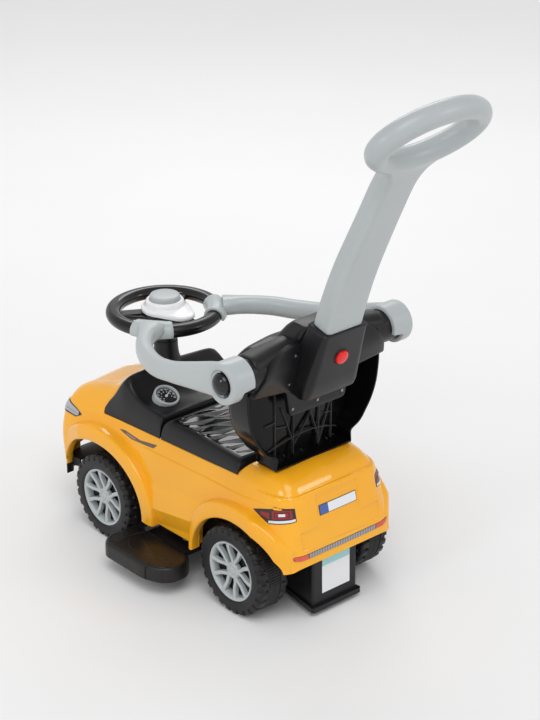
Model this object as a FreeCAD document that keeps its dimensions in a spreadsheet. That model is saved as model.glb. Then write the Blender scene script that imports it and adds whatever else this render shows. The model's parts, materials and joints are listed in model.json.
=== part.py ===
"""Push car with a parent handle, guard arms, steering and a storage seat, in millimetres.

The nose points to -Y, the car's left side to +X and +Z is up. The origin lies on the ground
under the middle of the car. Every driving dimension is a cell of the sheet Sizes, places that
follow from them are in Places, and every piece takes its sizes from these two.
"""
import FreeCAD, Part
import math
import os
import re

Vector = FreeCAD.Vector
Rotation = FreeCAD.Rotation
Placement = FreeCAD.Placement

SIZES = {
    # wheels and axles
    "wheel_diameter": 156.0,
    "wheel_width": 62.0,
    "wheel_track": 226.8,
    "wheelbase": 346.0,
    "rear_axle_place": 86.5,
    "axle_diameter": 10.0,
    "tyre_wall": 4.0,
    "tread_depth": 3.5,
    "tread_blocks": 26.0,
    "tread_slot_width": 7.0,
    "tread_slot_length": 17.0,
    "hub_diameter": 28.0,
    "bead_diameter": 116.0,
    "hub_cap_diameter": 105.0,
    "hub_cap_recess": 16.0,
    "hub_cap_wall": 4.0,
    "axle_nut_diameter": 18.0,
    "axle_nut_length": 6.0,
    # clearances
    "running_clearance": 0.05,
    "part_gap": 0.4,
    "slide_clearance": 0.5,
    # body
    "front_overhang": 162.0,
    "rear_overhang": 116.0,
    "sill_height": 75.0,
    "belt_height": 234.5,
    "belt_slope": 0.0445,
    "hood_height": 306.0,
    "deck_height": 258.0,
    "belt_width": 224.0,
    "sill_width": 262.0,
    "flare_width": 284.0,
    "flare_band": 26.0,
    "front_arch_height": 100.0,
    "front_arch_length": 242.0,
    "rear_arch_height": 92.0,
    "rear_arch_length": 212.0,
    "bumper_height": 110.0,
    "shell_wall": 3.0,
    "cockpit_width": 188.0,
    # chassis, steering and stop
    "floor_height": 72.0,
    "floor_thickness": 4.0,
    "spine_width": 96.0,
    "pan_length": 124.0,
    "pan_gap": 4.5,
    "king_pin_track": 132.0,
    "knuckle_height": 28.0,
    "knuckle_diameter": 22.0,
    "lug_diameter": 26.0,
    "lug_thickness": 8.0,
    "steering_arm_length": 30.0,
    "link_thickness": 6.0,
    "link_pin_diameter": 6.0,
    "column_setback": 10.0,
    "column_diameter": 12.0,
    "stop_width": 100.0,
    "stop_length": 84.0,
    "stop_clearance": 9.0,
    "stop_flange": 6.0,
    # seat, dash and storage
    "dash_height": 308.0,
    "dash_length": 161.6,
    "dash_rake": 52.0,
    "seat_height": 262.0,
    "seat_gap": 5.0,
    "trim_wall": 3.0,
    "lid_hinge_radius": 8.0,
    "hinge_pin_diameter": 5.0,
    "tub_depth": 130.0,
    "tub_wall": 2.5,
    "gauge_diameter": 46.0,
    "gauge_spacing": 120.0,
    # steering wheel
    "steering_wheel_diameter": 206.0,
    "rim_thickness": 22.0,
    "rim_height": 397.0,
    "hub_bowl_diameter": 80.0,
    "hub_bowl_depth": 20.0,
    "sleeve_diameter": 38.0,
    "column_seam_height": 345.0,
    "spoke_width": 20.0,
    "horn_dome_diameter": 78.0,
    "horn_dome_height": 20.0,
    "horn_lobe_reach": 52.0,
    "horn_button_diameter": 50.0,
    "horn_travel": 3.0,
    # backrest and handle
    "backrest_width": 290.0,
    "backrest_depth": 52.0,
    "backrest_rise": 188.0,
    "shoulder_rise": 26.0,
    "mouth_rise": 66.0,
    "backrest_wall": 4.0,
    "skirt_width": 166.0,
    "trunnion_diameter": 56.0,
    "trunnion_reach": 177.0,
    "handle_lean": 16.0,
    "stem_width": 76.0,
    "stem_depth": 38.0,
    "stem_low_length": 150.0,
    "stem_low_bend": 10.0,
    "stem_straight": 115.0,
    "stem_high_length": 78.0,
    "stem_high_bend": 14.0,
    "stem_wall": 4.0,
    "stem_floor": 6.0,
    "tang_length": 112.0,
    "tang_step": 4.0,
    "socket_wall": 4.0,
    "grip_width": 233.0,
    "grip_height": 148.0,
    "grip_thickness": 35.0,
    "button_diameter": 22.0,
    "button_travel": 5.0,
    # guard arms
    "arm_spread": 358.0,
    "arm_height": 34.0,
    "arm_thickness": 29.0,
    "arm_seat_rise": 8.0,
    "cuff_wall": 6.0,
    "cuff_start": 150.0,
    "arm_button_diameter": 42.0,
    "arm_button_travel": 4.0,
    "saddle_wall": 5.0,
    "saddle_gap": 1.4,
    # footrests
    "footrest_reach": 215.0,
    "footrest_length": 172.0,
    "footrest_top": 57.0,
    "footrest_thickness": 27.0,
    "footrest_travel": 45.0,
    "tongue_width": 104.0,
    "tongue_thickness": 8.0,
    # fasteners
    "screw_diameter": 5.0,
    "screw_head_diameter": 10.0,
    "screw_head_height": 3.0,
    "spring_wall": 1.0,
}

PLACES = {
    "axle_z": "wheel_diameter / 2",
    "rear_y": "rear_axle_place",
    "front_y": "rear_axle_place - wheelbase",
    "wheel_x": "wheel_track / 2",
    "half_tyre": "wheel_width / 2",
    "web_x": "wheel_width / 2 - hub_cap_recess",
    "cap_radius": "hub_cap_diameter / 2",
    "bore_radius": "axle_diameter / 2 + running_clearance",
    "nut_start": "web_x + part_gap",
    "axle_end": "nut_start + axle_nut_length + 1",
    "nose_y": "front_y - front_overhang",
    "tail_y": "rear_y + rear_overhang",
    "floor_top": "floor_height + floor_thickness",
    "king_x": "king_pin_track / 2",
    "knuckle_low": "axle_z - knuckle_height / 2",
    "knuckle_high": "axle_z + knuckle_height / 2",
    "arm_end_y": "front_y + steering_arm_length",
    "column_y": "front_y + column_setback",
    "crank_z": "floor_height - link_thickness - 1",
    "link_z": "crank_z - link_thickness - part_gap",
    "hub_inner_x": "wheel_x - half_tyre",
    "dash_front_y": "front_y - 31",
    "seat_front_y": "dash_front_y + dash_length",
    "seat_back_y": "rear_y - 20",
    "seat_mid_y": "(seat_front_y + seat_back_y) / 2",
    "hinge_y": "seat_front_y + lid_hinge_radius + part_gap",
    "hinge_z": "seat_height - lid_hinge_radius",
    "belt_x": "belt_width / 2",
    "rim_radius": "steering_wheel_diameter / 2 - rim_thickness / 2",
    "rim_tube": "rim_thickness / 2",
    "bowl_top": "rim_height + 3",
    "bowl_low": "bowl_top - hub_bowl_depth",
    "dome_top": "bowl_top + horn_dome_height",
    "back_front_y": "rear_y - 5",
    "back_rear_y": "back_front_y + backrest_depth",
    "pivot_y": "back_rear_y - 6.6",
    "pivot_height": "deck_height + backrest_rise",
    "backrest_top": "pivot_height + shoulder_rise",
    "mouth_height": "pivot_height + mouth_rise",
    "arm_drop": "pivot_height - rim_height - arm_seat_rise",
    "trunnion_r": "trunnion_diameter / 2",
    "cuff_bore": "trunnion_r + part_gap",
    "cuff_r": "cuff_bore + cuff_wall",
    "arm_x": "arm_spread / 2",
    "mouth_y": "back_rear_y + socket_wall + stem_depth / 2 - tang_step + tang_length * sin(handle_lean) + 1",
    "stop_y": "rear_y + 14",
    "tail_plate_z": "bumper_height + 3",
    "foot_mid_y": "(rear_y + front_y) / 2 - 8",
    "pan_half": "sill_width / 2 - shell_wall - pan_gap",
    "foot_low": "footrest_top - footrest_thickness",
    "tongue_z": "footrest_top - tongue_thickness - 3",
}

# the document, its sheet of driving sizes and the places that follow from them
doc = FreeCAD.newDocument("push_car")
sheet = doc.addObject("Spreadsheet::Sheet", "Sizes")
for row, (alias, value) in enumerate(SIZES.items(), start=1):
    sheet.set(f"A{row}", alias)
    sheet.set(f"B{row}", str(value))
    sheet.setAlias(f"B{row}", alias)
doc.recompute()
places = doc.addObject("App::VarSet", "Places")


def bound(text):
    """The expression text with every size and place written as a reference to its owner."""
    def owner(match):
        word = match.group(0)
        if word in SIZES:
            return "Sizes." + word
        return "Places." + word if word in PLACES else word
    return re.sub(r"[a-z_]+", owner, text)


for word, text in PLACES.items():
    places.addProperty("App::PropertyFloat", word)
    places.setExpression(word, bound(text))
    doc.recompute()


def size(word):
    """The present value of a size or place, for the pieces whose shape is worked out here."""
    return float(getattr(sheet, word) if word in SIZES else getattr(places, word))


AXIS_TURN = {"X": Rotation(Vector(0, 1, 0), 90), "Y": Rotation(Vector(1, 0, 0), -90), "Z": Rotation()}
nodes = {}


def keep(name, obj):
    """Names the finished object of one sub-part."""
    obj.Label = name
    nodes[name] = obj
    return obj


def place(obj, x, y, z, turn=None):
    if turn is not None:
        obj.Placement = Placement(Vector(), turn)
    for letter, text in zip("xyz", (x, y, z)):
        obj.setExpression(f"Placement.Base.{letter}", bound(text))
    return obj


def box(x, y, z, length, width, height):
    """Block whose lowest corner is at x, y, z."""
    obj = doc.addObject("Part::Box", "block")
    for prop, text in (("Length", length), ("Width", width), ("Height", height)):
        obj.setExpression(prop, bound(text))
    return place(obj, x, y, z)


def bar(width, y, z, length, height):
    """Block centred on the car's middle plane."""
    return box(f"-({width}) / 2", y, z, width, length, height)


def rod(radius, length, x, y, z, axis="Z"):
    """Cylinder that starts at x, y, z and runs along an axis."""
    obj = doc.addObject("Part::Cylinder", "rod")
    obj.setExpression("Radius", bound(radius))
    obj.setExpression("Height", bound(length))
    return place(obj, x, y, z, AXIS_TURN[axis])


def fuse(*shapes):
    if len(shapes) == 1:
        return shapes[0]
    obj = doc.addObject("Part::MultiFuse", "joined")
    obj.Shapes = list(shapes)
    return obj


def cut(base, *tools):
    obj = doc.addObject("Part::Cut", "cut")
    obj.Base = base
    obj.Tool = fuse(*tools)
    return obj


def group(*shapes):
    """Separate solids kept together as one node."""
    obj = doc.addObject("Part::Compound", "set")
    obj.Links = list(shapes)
    return obj


def shaped(shape):
    """Object for a shape that is worked out here from the sizes."""
    obj = doc.addObject("Part::Feature", "form")
    obj.Shape = shape
    return obj


def mirrored(obj):
    """The same piece on the car's other side."""
    twin = doc.addObject("Part::Mirroring", "mirrored")
    twin.Source = obj
    twin.Normal = Vector(1, 0, 0)
    return twin


# sketches of straight outlines, for the pieces that are turned, padded or pocketed

def outline(body, plane, loops, offset="0"):
    """Sketch on an origin plane of a body, with every corner held at its own two distances."""
    import Sketcher
    sketch = body.newObject("Sketcher::SketchObject", "outline")
    origin = [item for item in body.Origin.OriginFeatures if item.Role == plane][0]
    sketch.AttachmentSupport = [(origin, "")]
    sketch.MapMode = "FlatFace"
    sketch.setExpression("AttachmentOffset.Base.z", bound(offset))
    for loop in loops:
        first = sketch.GeometryCount
        count = len(loop)
        spots = [Vector(50 * math.cos(math.tau * i / count), 50 * math.sin(math.tau * i / count), 0)
                 for i in range(count)]
        for i in range(count):
            sketch.addGeometry(Part.LineSegment(spots[i], spots[(i + 1) % count]))
        for i in range(count):
            sketch.addConstraint(Sketcher.Constraint("Coincident", first + i, 2, first + (i + 1) % count, 1))
        for i, corner in enumerate(loop):
            for kind, text in zip(("DistanceX", "DistanceY"), corner):
                index = sketch.addConstraint(Sketcher.Constraint(kind, -1, 1, first + i, 1, 1.0))
                sketch.setExpression(f"Constraints[{index}]", bound(text))
    return sketch


def new_body(x, y, z, turn=None):
    body = doc.addObject("PartDesign::Body", "body")
    return place(body, x, y, z, turn)


def turned(body, loop):
    """Revolution of an outline about the body's own X axis."""
    sketch = outline(body, "XY_Plane", [loop])
    feature = body.newObject("PartDesign::Revolution", "turned")
    feature.Profile = sketch
    feature.ReferenceAxis = (sketch, ["H_Axis"])
    feature.Angle = 360
    doc.recompute()
    return feature


def ring_of_pockets(body, sketch, depth, count, reverse):
    """Pocket that repeats round the body's X axis."""
    pocket = body.newObject("PartDesign::Pocket", "pocket")
    pocket.Profile = sketch
    pocket.Reversed = reverse
    pocket.setExpression("Length", bound(depth))
    doc.recompute()
    pattern = body.newObject("PartDesign::PolarPattern", "round")
    pattern.Originals = [pocket]
    pattern.Axis = ([item for item in body.Origin.OriginFeatures if item.Role == "X_Axis"][0], [""])
    pattern.Angle = 360
    pattern.setExpression("Occurrences", bound(count))
    body.Tip = pattern
    doc.recompute()


# outlines with rounded corners and simple solids, for the moulded shells

def rounded_wire(corners, lift):
    """Closed wire through corners (u, v, radius), each rounded by its radius; lift makes 3-D points."""
    pieces = []
    count = len(corners)
    for i, (u, v, radius) in enumerate(corners):
        here = Vector(u, v, 0)
        back = (Vector(*corners[i - 1][:2], 0) - here).normalize()
        ahead = (Vector(*corners[(i + 1) % count][:2], 0) - here).normalize()
        if radius <= 0:
            pieces.append((here,))
            continue
        half = math.acos(max(-1.0, min(1.0, back.dot(ahead)))) / 2
        reach = radius / math.tan(half)
        middle = here + (back + ahead).normalize() * (radius / math.sin(half) - radius)
        pieces.append((here + back * reach, middle, here + ahead * reach))
    edges = []
    for i, piece in enumerate(pieces):
        if len(piece) == 3:
            edges.append(Part.Arc(*(lift(point) for point in piece)).toShape())
        start, end = lift(piece[-1]), lift(pieces[(i + 1) % count][0])
        if start.distanceToPoint(end) > 1e-6:
            edges.append(Part.LineSegment(start, end).toShape())
    return Part.Wire(edges)


LIFTS = {
    "XY": (lambda level: lambda p: Vector(p.x, p.y, level), Vector(0, 0, 1)),
    "XZ": (lambda level: lambda p: Vector(p.x, level, p.y), Vector(0, 1, 0)),
    "YZ": (lambda level: lambda p: Vector(level, p.x, p.y), Vector(1, 0, 0)),
}


def prism(plane, corners, start, length):
    """Outline on a plane, pushed along the third axis from start by length."""
    lift, along = LIFTS[plane]
    return Part.Face(rounded_wire(corners, lift(start))).extrude(along * length)


def both_sides(half):
    """Closed symmetric outline from the corners of its +X half, bottom to top."""
    return half + [(-u, v, radius) for u, v, radius in reversed(half)]


def solid_loft(wires, ruled=False):
    return Part.makeLoft(wires, True, ruled)


def plain_rod(radius, start, along):
    """Cylinder between two points."""
    return Part.makeCylinder(radius, along.Length, start, along)


def screws(spots, length):
    """Pan-head screws: spots give the head's seat and the way the shank points."""
    shank, head = size("screw_diameter") / 2, size("screw_head_diameter") / 2
    solids = []
    for seat, way in spots:
        solids.append(plain_rod(shank, seat, way * length).fuse(
            plain_rod(head, seat, way * -size("screw_head_height"))).removeSplitter())
    return Part.Compound(solids)


# wheels

def tyre(name, x, y, turn):
    body = new_body(x, y, "axle_z", turn)
    radius = "wheel_diameter / 2"
    seat = "cap_radius + part_gap / 2"
    tread_in = "wheel_diameter / 2 - tread_depth - tyre_wall"
    turned(body, [
        ("-half_tyre", "bead_diameter / 2"), ("-half_tyre", f"{radius} - 8"),
        ("5 - half_tyre", radius), ("half_tyre - 5", radius), ("half_tyre", f"{radius} - 8"),
        ("half_tyre", seat), ("web_x", seat), ("web_x", "bore_radius"),
        ("-half_tyre", "bore_radius"), ("-half_tyre", "hub_diameter / 2"),
        ("web_x - tyre_wall", "hub_diameter / 2"), ("web_x - tyre_wall", f"{seat} + tyre_wall"),
        ("half_tyre - tyre_wall", f"{seat} + tyre_wall"), ("half_tyre - tyre_wall", f"{tread_in} - 4"),
        ("half_tyre - tyre_wall - 4", tread_in), ("tyre_wall + 4 - half_tyre", tread_in),
        ("tyre_wall - half_tyre", f"{tread_in} - 4"), ("tyre_wall - half_tyre", "bead_diameter / 2")])
    slot = "tread_slot_width / 2"
    half_step = "wheel_diameter * pi / tread_blocks / 2"
    slots = [[("half_tyre - tread_slot_length", f"-{slot}"), ("half_tyre + 2", f"-{slot}"),
              ("half_tyre + 2", slot), ("half_tyre - tread_slot_length", slot)],
             [("-half_tyre - 2", f"{half_step} - {slot}"),
              ("tread_slot_length - half_tyre", f"{half_step} - {slot}"),
              ("tread_slot_length - half_tyre", f"{half_step} + {slot}"),
              ("-half_tyre - 2", f"{half_step} + {slot}")]]
    sketch = outline(body, "XY_Plane", slots, f"{radius} - tread_depth")
    ring_of_pockets(body, sketch, "tread_depth + 4", "tread_blocks", True)
    return keep(name, body)


def hub_cap(name, x, y, turn):
    body = new_body(x, y, "axle_z", turn)
    inner = "cap_radius - hub_cap_wall"
    back = "half_tyre - hub_cap_wall - 3"
    turned(body, [
        ("web_x + part_gap / 2", inner), ("web_x + part_gap / 2", "cap_radius"),
        ("half_tyre - 1", "cap_radius"), ("half_tyre - 1", f"{inner} + 1"),
        ("half_tyre - 3", f"{inner} - 2"), ("half_tyre - 3", "16"), ("half_tyre - 0.5", "13"),
        ("half_tyre - 0.5", "0"), (back, "0"), (back, inner)])
    outer = f"({inner} - 3)"

    def corner(radius, angle):
        return (f"{radius} * cos({angle})", f"{radius} * sin({angle})")
    wide = [corner("19", 112), corner(outer, 107), corner(outer, 73), corner("19", 68)]
    slim = [corner("26", 132), corner(outer, 134), corner(outer, 118), corner("26", 120)]
    sketch = outline(body, "YZ_Plane", [wide, slim], "half_tyre + 1")
    ring_of_pockets(body, sketch, "hub_cap_wall + 6", "5", False)
    return keep(name, body)


def wheels():
    half_turn = Rotation(Vector(0, 0, 1), 180)
    for end, y in (("front", "front_y"), ("rear", "rear_y")):
        for side, x, turn in (("left", "wheel_x", None), ("right", "-wheel_x", half_turn)):
            tyre(f"{end}_{side}_tyre", x, y, turn)
            hub_cap(f"{end}_{side}_hub_cap", x, y, turn)


def axles():
    half = "(wheel_x + axle_end)"
    keep("rear_axle", rod("axle_diameter / 2", f"2 * {half}", f"-{half}", "rear_y", "axle_z", "X"))

    def nut(x, y):
        ring = rod("axle_nut_diameter / 2", "axle_nut_length", x, y, "axle_z", "X")
        hole = rod("bore_radius", "axle_nut_length + 2", f"{x} - 1", y, "axle_z", "X")
        return cut(ring, hole)
    left, right = "wheel_x + nut_start", "-wheel_x - nut_start - axle_nut_length"
    keep("rear_axle_nuts", group(nut(left, "rear_y"), nut(right, "rear_y")))
    keep("left_axle_nut", nut(left, "front_y"))
    keep("right_axle_nut", nut(right, "front_y"))


# steering gear

def steering_gear():
    pin_low = "knuckle_low - lug_thickness - 2"
    pin_length = "knuckle_height + 2 * lug_thickness + 4"
    keep("king_pins", group(*(rod("axle_diameter / 2", pin_length, x, "front_y", pin_low)
                              for x in ("king_x", "-king_x"))))
    stub_start = "king_x + axle_diameter / 2 + 2"
    stub = f"(wheel_x + axle_end - ({stub_start}))"
    keep("left_stub_axle", rod("axle_diameter / 2", stub, stub_start, "front_y", "axle_z", "X"))
    keep("right_stub_axle", rod("axle_diameter / 2", stub, "-wheel_x - axle_end", "front_y", "axle_z", "X"))
    barrel = rod("knuckle_diameter / 2", "knuckle_height - 2 * part_gap", "king_x", "front_y",
                 "knuckle_low + part_gap")
    boss = rod("axle_diameter / 2 + 4", "hub_inner_x - king_x - part_gap", "king_x", "front_y", "axle_z", "X")
    arm = box("king_x - 6", "front_y", "crank_z", "12", "steering_arm_length", "link_thickness")
    eye = rod("6", "link_thickness", "king_x", "arm_end_y", "crank_z")
    king_bore = rod("bore_radius", "knuckle_height + 2", "king_x", "front_y", "knuckle_low - 1")
    stub_bore = rod("bore_radius", stub, stub_start, "front_y", "axle_z", "X")
    eye_bore = rod("link_pin_diameter / 2 + running_clearance", "link_thickness + 2", "king_x",
                   "arm_end_y", "crank_z - 1")
    left = keep("left_knuckle", cut(fuse(barrel, boss, arm, eye), king_bore, stub_bore, eye_bore))
    wide_bore = rod("link_pin_diameter / 2 + part_gap", "link_thickness + 2", "-king_x", "arm_end_y",
                    "crank_z - 1")
    keep("right_knuckle", cut(mirrored(left), wide_bore))

    crank_y = "column_y + steering_arm_length"
    link = bar("2 * king_x + 16", "arm_end_y - 7", "link_z", "14", "link_thickness")
    tab = bar("22", "arm_end_y - 7", "link_z", "column_setback + 17", "link_thickness")
    pins = [rod("link_pin_diameter / 2", "2 * link_thickness + part_gap", x, y, "link_z")
            for x, y in (("king_x", "arm_end_y"), ("-king_x", "arm_end_y"), ("0", crank_y))]
    keep("tie_rod", fuse(link, tab, *pins))

    shaft = rod("column_diameter / 2", "bowl_low - crank_z", "0", "column_y", "crank_z")
    crank = bar("14", "column_y", "crank_z", "steering_arm_length", "link_thickness")
    crank_eye = rod("7", "link_thickness", "0", crank_y, "crank_z")
    crank_bore = rod("link_pin_diameter / 2 + part_gap", "link_thickness + 2", "0", crank_y, "crank_z - 1")
    keep("steering_shaft", cut(fuse(shaft, crank, crank_eye), crank_bore))


def steering_wheel():
    rim = doc.addObject("Part::Torus", "rim")
    rim.setExpression("Radius1", bound("rim_radius"))
    rim.setExpression("Radius2", bound("rim_tube"))
    place(rim, "0", "column_y", "rim_height")
    spokes = []
    for angle in (90, 210, 330):
        spoke = doc.addObject("Part::Box", "spoke")
        spoke.setExpression("Length", bound("rim_radius - hub_bowl_diameter / 2 + 6"))
        spoke.setExpression("Width", bound("spoke_width"))
        spoke.setExpression("Height", bound("rim_tube - 1"))
        turn = Rotation(Vector(0, 0, 1), angle)
        inward = "(hub_bowl_diameter / 2 - 6)"
        place(spoke, f"{inward} * cos({angle}) + spoke_width / 2 * sin({angle})",
              f"column_y + {inward} * sin({angle}) - spoke_width / 2 * cos({angle})",
              "rim_height - rim_tube + 4", turn)
        spokes.append(spoke)
    bowl = rod("hub_bowl_diameter / 2", "hub_bowl_depth", "0", "column_y", "bowl_low")
    hollow = rod("hub_bowl_diameter / 2 - trim_wall", "hub_bowl_depth", "0", "column_y",
                 "bowl_low + trim_wall")
    sleeve = rod("sleeve_diameter / 2", "bowl_low - column_seam_height + 1", "0", "column_y",
                 "column_seam_height")
    shaft_hole = rod("column_diameter / 2", "bowl_low - column_seam_height + 1", "0", "column_y",
                     "column_seam_height - 1")
    screw_holes = [rod("screw_diameter / 2 + running_clearance", "20", x, "column_y", "bowl_low - 10")
                   for x in ("31.5", "-31.5")]
    pillar = rod("5", "hub_bowl_depth - trim_wall + 0.4", "0", "column_y", "bowl_low + trim_wall")
    wheel = cut(fuse(rim, *spokes, bowl, sleeve), hollow, shaft_hole, *screw_holes)
    keep("steering_wheel", fuse(wheel, pillar))

    # white horn housing: a round dome with a lobe towards the driver
    centre = Vector(0, size("column_y"), size("bowl_top"))
    dome, lobe, reach = size("horn_dome_diameter") / 2, 22.0, size("horn_lobe_reach")
    wall, height = size("trim_wall"), size("horn_dome_height")

    def pear(inset, level):
        """Outline of the housing's foot: two arcs joined by their common tangents."""
        large, small = dome - inset, lobe - inset
        lean = math.asin((large - small) / reach)
        side = Vector(math.cos(lean), math.sin(lean), 0)
        flip = Vector(-side.x, side.y, 0)
        low = Vector(centre.x, centre.y, level)
        far = low + Vector(0, reach, 0)
        right, left = low + side * large, low + flip * large
        far_right, far_left = far + side * small, far + flip * small
        return Part.Wire([Part.Arc(right, low - Vector(0, large, 0), left).toShape(),
                          Part.LineSegment(left, far_left).toShape(),
                          Part.Arc(far_left, far + Vector(0, small, 0), far_right).toShape(),
                          Part.LineSegment(far_right, right).toShape()])
    foot = 9.0
    bottom = centre.z + size("part_gap")
    base = Part.Face(pear(0, bottom)).extrude(Vector(0, 0, foot - size("part_gap")))
    inside = Part.Face(pear(wall, bottom)).extrude(Vector(0, 0, foot - size("part_gap") - wall))
    step = dome - 6
    crown = Part.makeCone(dome - 2, step, height - foot, centre + Vector(0, 0, foot))
    well = size("horn_button_diameter") / 2 + size("slide_clearance")
    core = Part.makeCylinder(step - 2 * wall, height - wall, centre)
    button_well = Part.makeCylinder(well, height, centre + Vector(0, 0, foot))
    housing = base.fuse(crown).cut(inside).cut(core).cut(button_well)
    post_low = size("bowl_low") + wall + size("part_gap")
    seats = [Vector(x, centre.y, size("bowl_low")) for x in (31.5, -31.5)]
    for seat in seats:
        post = plain_rod(4.4, Vector(seat.x, seat.y, post_low), Vector(0, 0, centre.z + foot - 1 - post_low))
        housing = housing.fuse(post).cut(plain_rod(size("screw_diameter") / 2, seat, Vector(0, 0, 19)))
    keep("horn_housing", shaped(housing.removeSplitter()))
    keep("housing_screws", shaped(screws([(seat, Vector(0, 0, 1)) for seat in seats], 18)))

    # the button stands in the well on its spring
    travel = size("horn_travel")
    button_low = size("dome_top") - 8
    plunger = 8.0
    spring_low = centre.z + 2
    stem = Part.makeCylinder(plunger, button_low - spring_low - 4,
                             Vector(0, centre.y, spring_low + 4 + travel))
    cap = Part.makeCylinder(size("horn_button_diameter") / 2, 8 + 6, Vector(0, centre.y, button_low))
    flange = Part.makeCylinder(step - 2 * wall - 0.5, 2.5, Vector(0, centre.y, button_low))
    keep("horn_button", shaped(cap.fuse(stem).fuse(flange).removeSplitter()))
    coil = Part.makeCylinder(plunger + 3, button_low - spring_low - size("part_gap"),
                             Vector(0, centre.y, spring_low))
    coil_hole = Part.makeCylinder(plunger + 3 - size("spring_wall"), 40, Vector(0, centre.y, spring_low - 1))
    keep("horn_spring", shaped(coil.cut(coil_hole)))

    # sound board over the cells, and the speaker in the lobe
    board_z = spring_low - 1.6
    board = Part.makeCylinder(dome - 13, 1.6, Vector(0, centre.y, board_z))
    keep("horn_circuit_board", shaped(board))
    speaker_spot = Vector(0, centre.y + reach - 2, bottom - size("part_gap"))
    keep("horn_speaker", shaped(Part.makeCylinder(14, 5, speaker_spot + Vector(0, 0, 0.2))))
    cell_radius, cell_length = 7.1, 50.0
    cell_z = size("bowl_low") + wall + cell_radius + size("part_gap")
    keep("battery_cells", shaped(Part.Compound([
        Part.makeCylinder(cell_radius, cell_length, Vector(-cell_length / 2, centre.y + shift, cell_z),
                          Vector(1, 0, 0)) for shift in (-13.5, 13.5)])))


# body

def body_station(y, bottom, sill, flank, belt, edge, crown):
    """Cross-section of the outer skin: half widths and heights from the sill up to the middle."""
    half = [sill, flank, belt, edge]
    points = [Vector(x, y, z) for x, z in half] + [Vector(0, y, crown)]
    points += [Vector(-x, y, z) for x, z in reversed(half)]
    points[0].z = points[-1].z = bottom
    return Part.makePolygon(points + points[:1])


def belt_at(y):
    """Height of the ledge that dash and seat stand on; it rises towards the tail."""
    return size("belt_height") + (y - size("seat_mid_y")) * size("belt_slope")


def skin(inset, drop):
    """Closed solid of the body; inset gives the same form one wall smaller, open at the bottom."""
    front, rear, nose, tail = (size(word) for word in ("front_y", "rear_y", "nose_y", "tail_y"))
    belt_x, sill_x = size("belt_width") / 2, size("sill_width") / 2
    belt, hood, deck = size("belt_height"), size("hood_height"), size("deck_height")
    sill, bumper = size("sill_height"), size("bumper_height")
    low, dash = bumper - 12, size("dash_front_y")
    rows = [
        (nose, low + 4, (72, 0), (86, 150), (80, 178), (50, 186), 190),
        (nose + 14, low, (112, 0), (118, 150), (106, 196), (74, 216), 222),
        (nose + 36, low, (126, 0), (sill_x - 1, 160), (belt_x + 5, belt - 26), (90, belt + 1), belt + 10),
        (dash, sill, (sill_x - 3, 0), (sill_x + 2, 165), (belt_x + 1, belt_at(dash)), (92, hood - 43),
         hood - 22),
        (dash + 52, sill, (sill_x - 2, 0), (sill_x, 165), (belt_x, belt_at(dash + 52)), (84, hood - 8),
         hood),
        (front + 130, sill, (sill_x - 2, 0), (sill_x - 5, 165), (belt_x, belt_at(front + 130)), (96, deck),
         deck + 8),
        (rear - 70, sill, (sill_x - 2, 0), (sill_x - 4, 165), (belt_x, belt_at(rear - 70)), (96, deck),
         deck + 8),
        (rear - 6, sill, (sill_x - 1, 0), (sill_x, 165), (belt_x - 1, belt_at(rear)), (95, deck - 1), deck),
        (rear + 52, low, (sill_x - 2, 0), (sill_x - 3, 160), (belt_x - 6, belt - 3), (86, deck - 1), deck),
        (rear + 90, low + 6, (126, 0), (122, 160), (102, belt - 22), (84, belt + 4), belt + 8),
        (rear + 104, bumper - 3, (122, 0), (114, 150), (92, 190), (80, 206), 210),
        (tail, bumper, (96, 0), (94, 126), (86, 134), (70, 136), 137),
    ]
    wires = []
    for y, bottom, *half, crown in rows:
        if y == nose:
            y += inset
        if y == tail:
            y -= inset
        half = [(x - inset, z - inset) for x, z in half]
        wires.append(body_station(y, bottom - drop, *half, crown - inset))
    return solid_loft(wires, True)


def cockpit_space(grow):
    """Room that dash and seat take out of the body, up to the sloping ledge they stand on."""
    front, deck = size("dash_front_y") - grow, size("deck_height")
    back, top = size("seat_back_y") + grow, size("hood_height") + 200
    rise = (size("hood_height") - belt_at(front)) / size("dash_rake")
    return prism("YZ", [
        (front, belt_at(front) - grow, 0), (back, belt_at(back) - grow, 0), (back + 16, deck + 2, 0),
        (back + 16, top, 0), (front + (top - belt_at(front)) / rise, top, 0)], -300, 600)


def arch(end, grow, start, length):
    """Elliptical wheel arch, pushed along X."""
    shift = {"front": -12, "rear": 4}[end]
    across = size(f"{end}_arch_length") / 2 + grow
    up = size(f"{end}_arch_height") + grow
    middle = Vector(start, size(f"{end}_y") + shift, size("axle_z"))
    curve = Part.Ellipse(middle + Vector(0, across, 0), middle + Vector(0, 0, up), middle)
    return Part.Face(Part.Wire(curve.toShape())).extrude(Vector(length, 0, 0))


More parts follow.
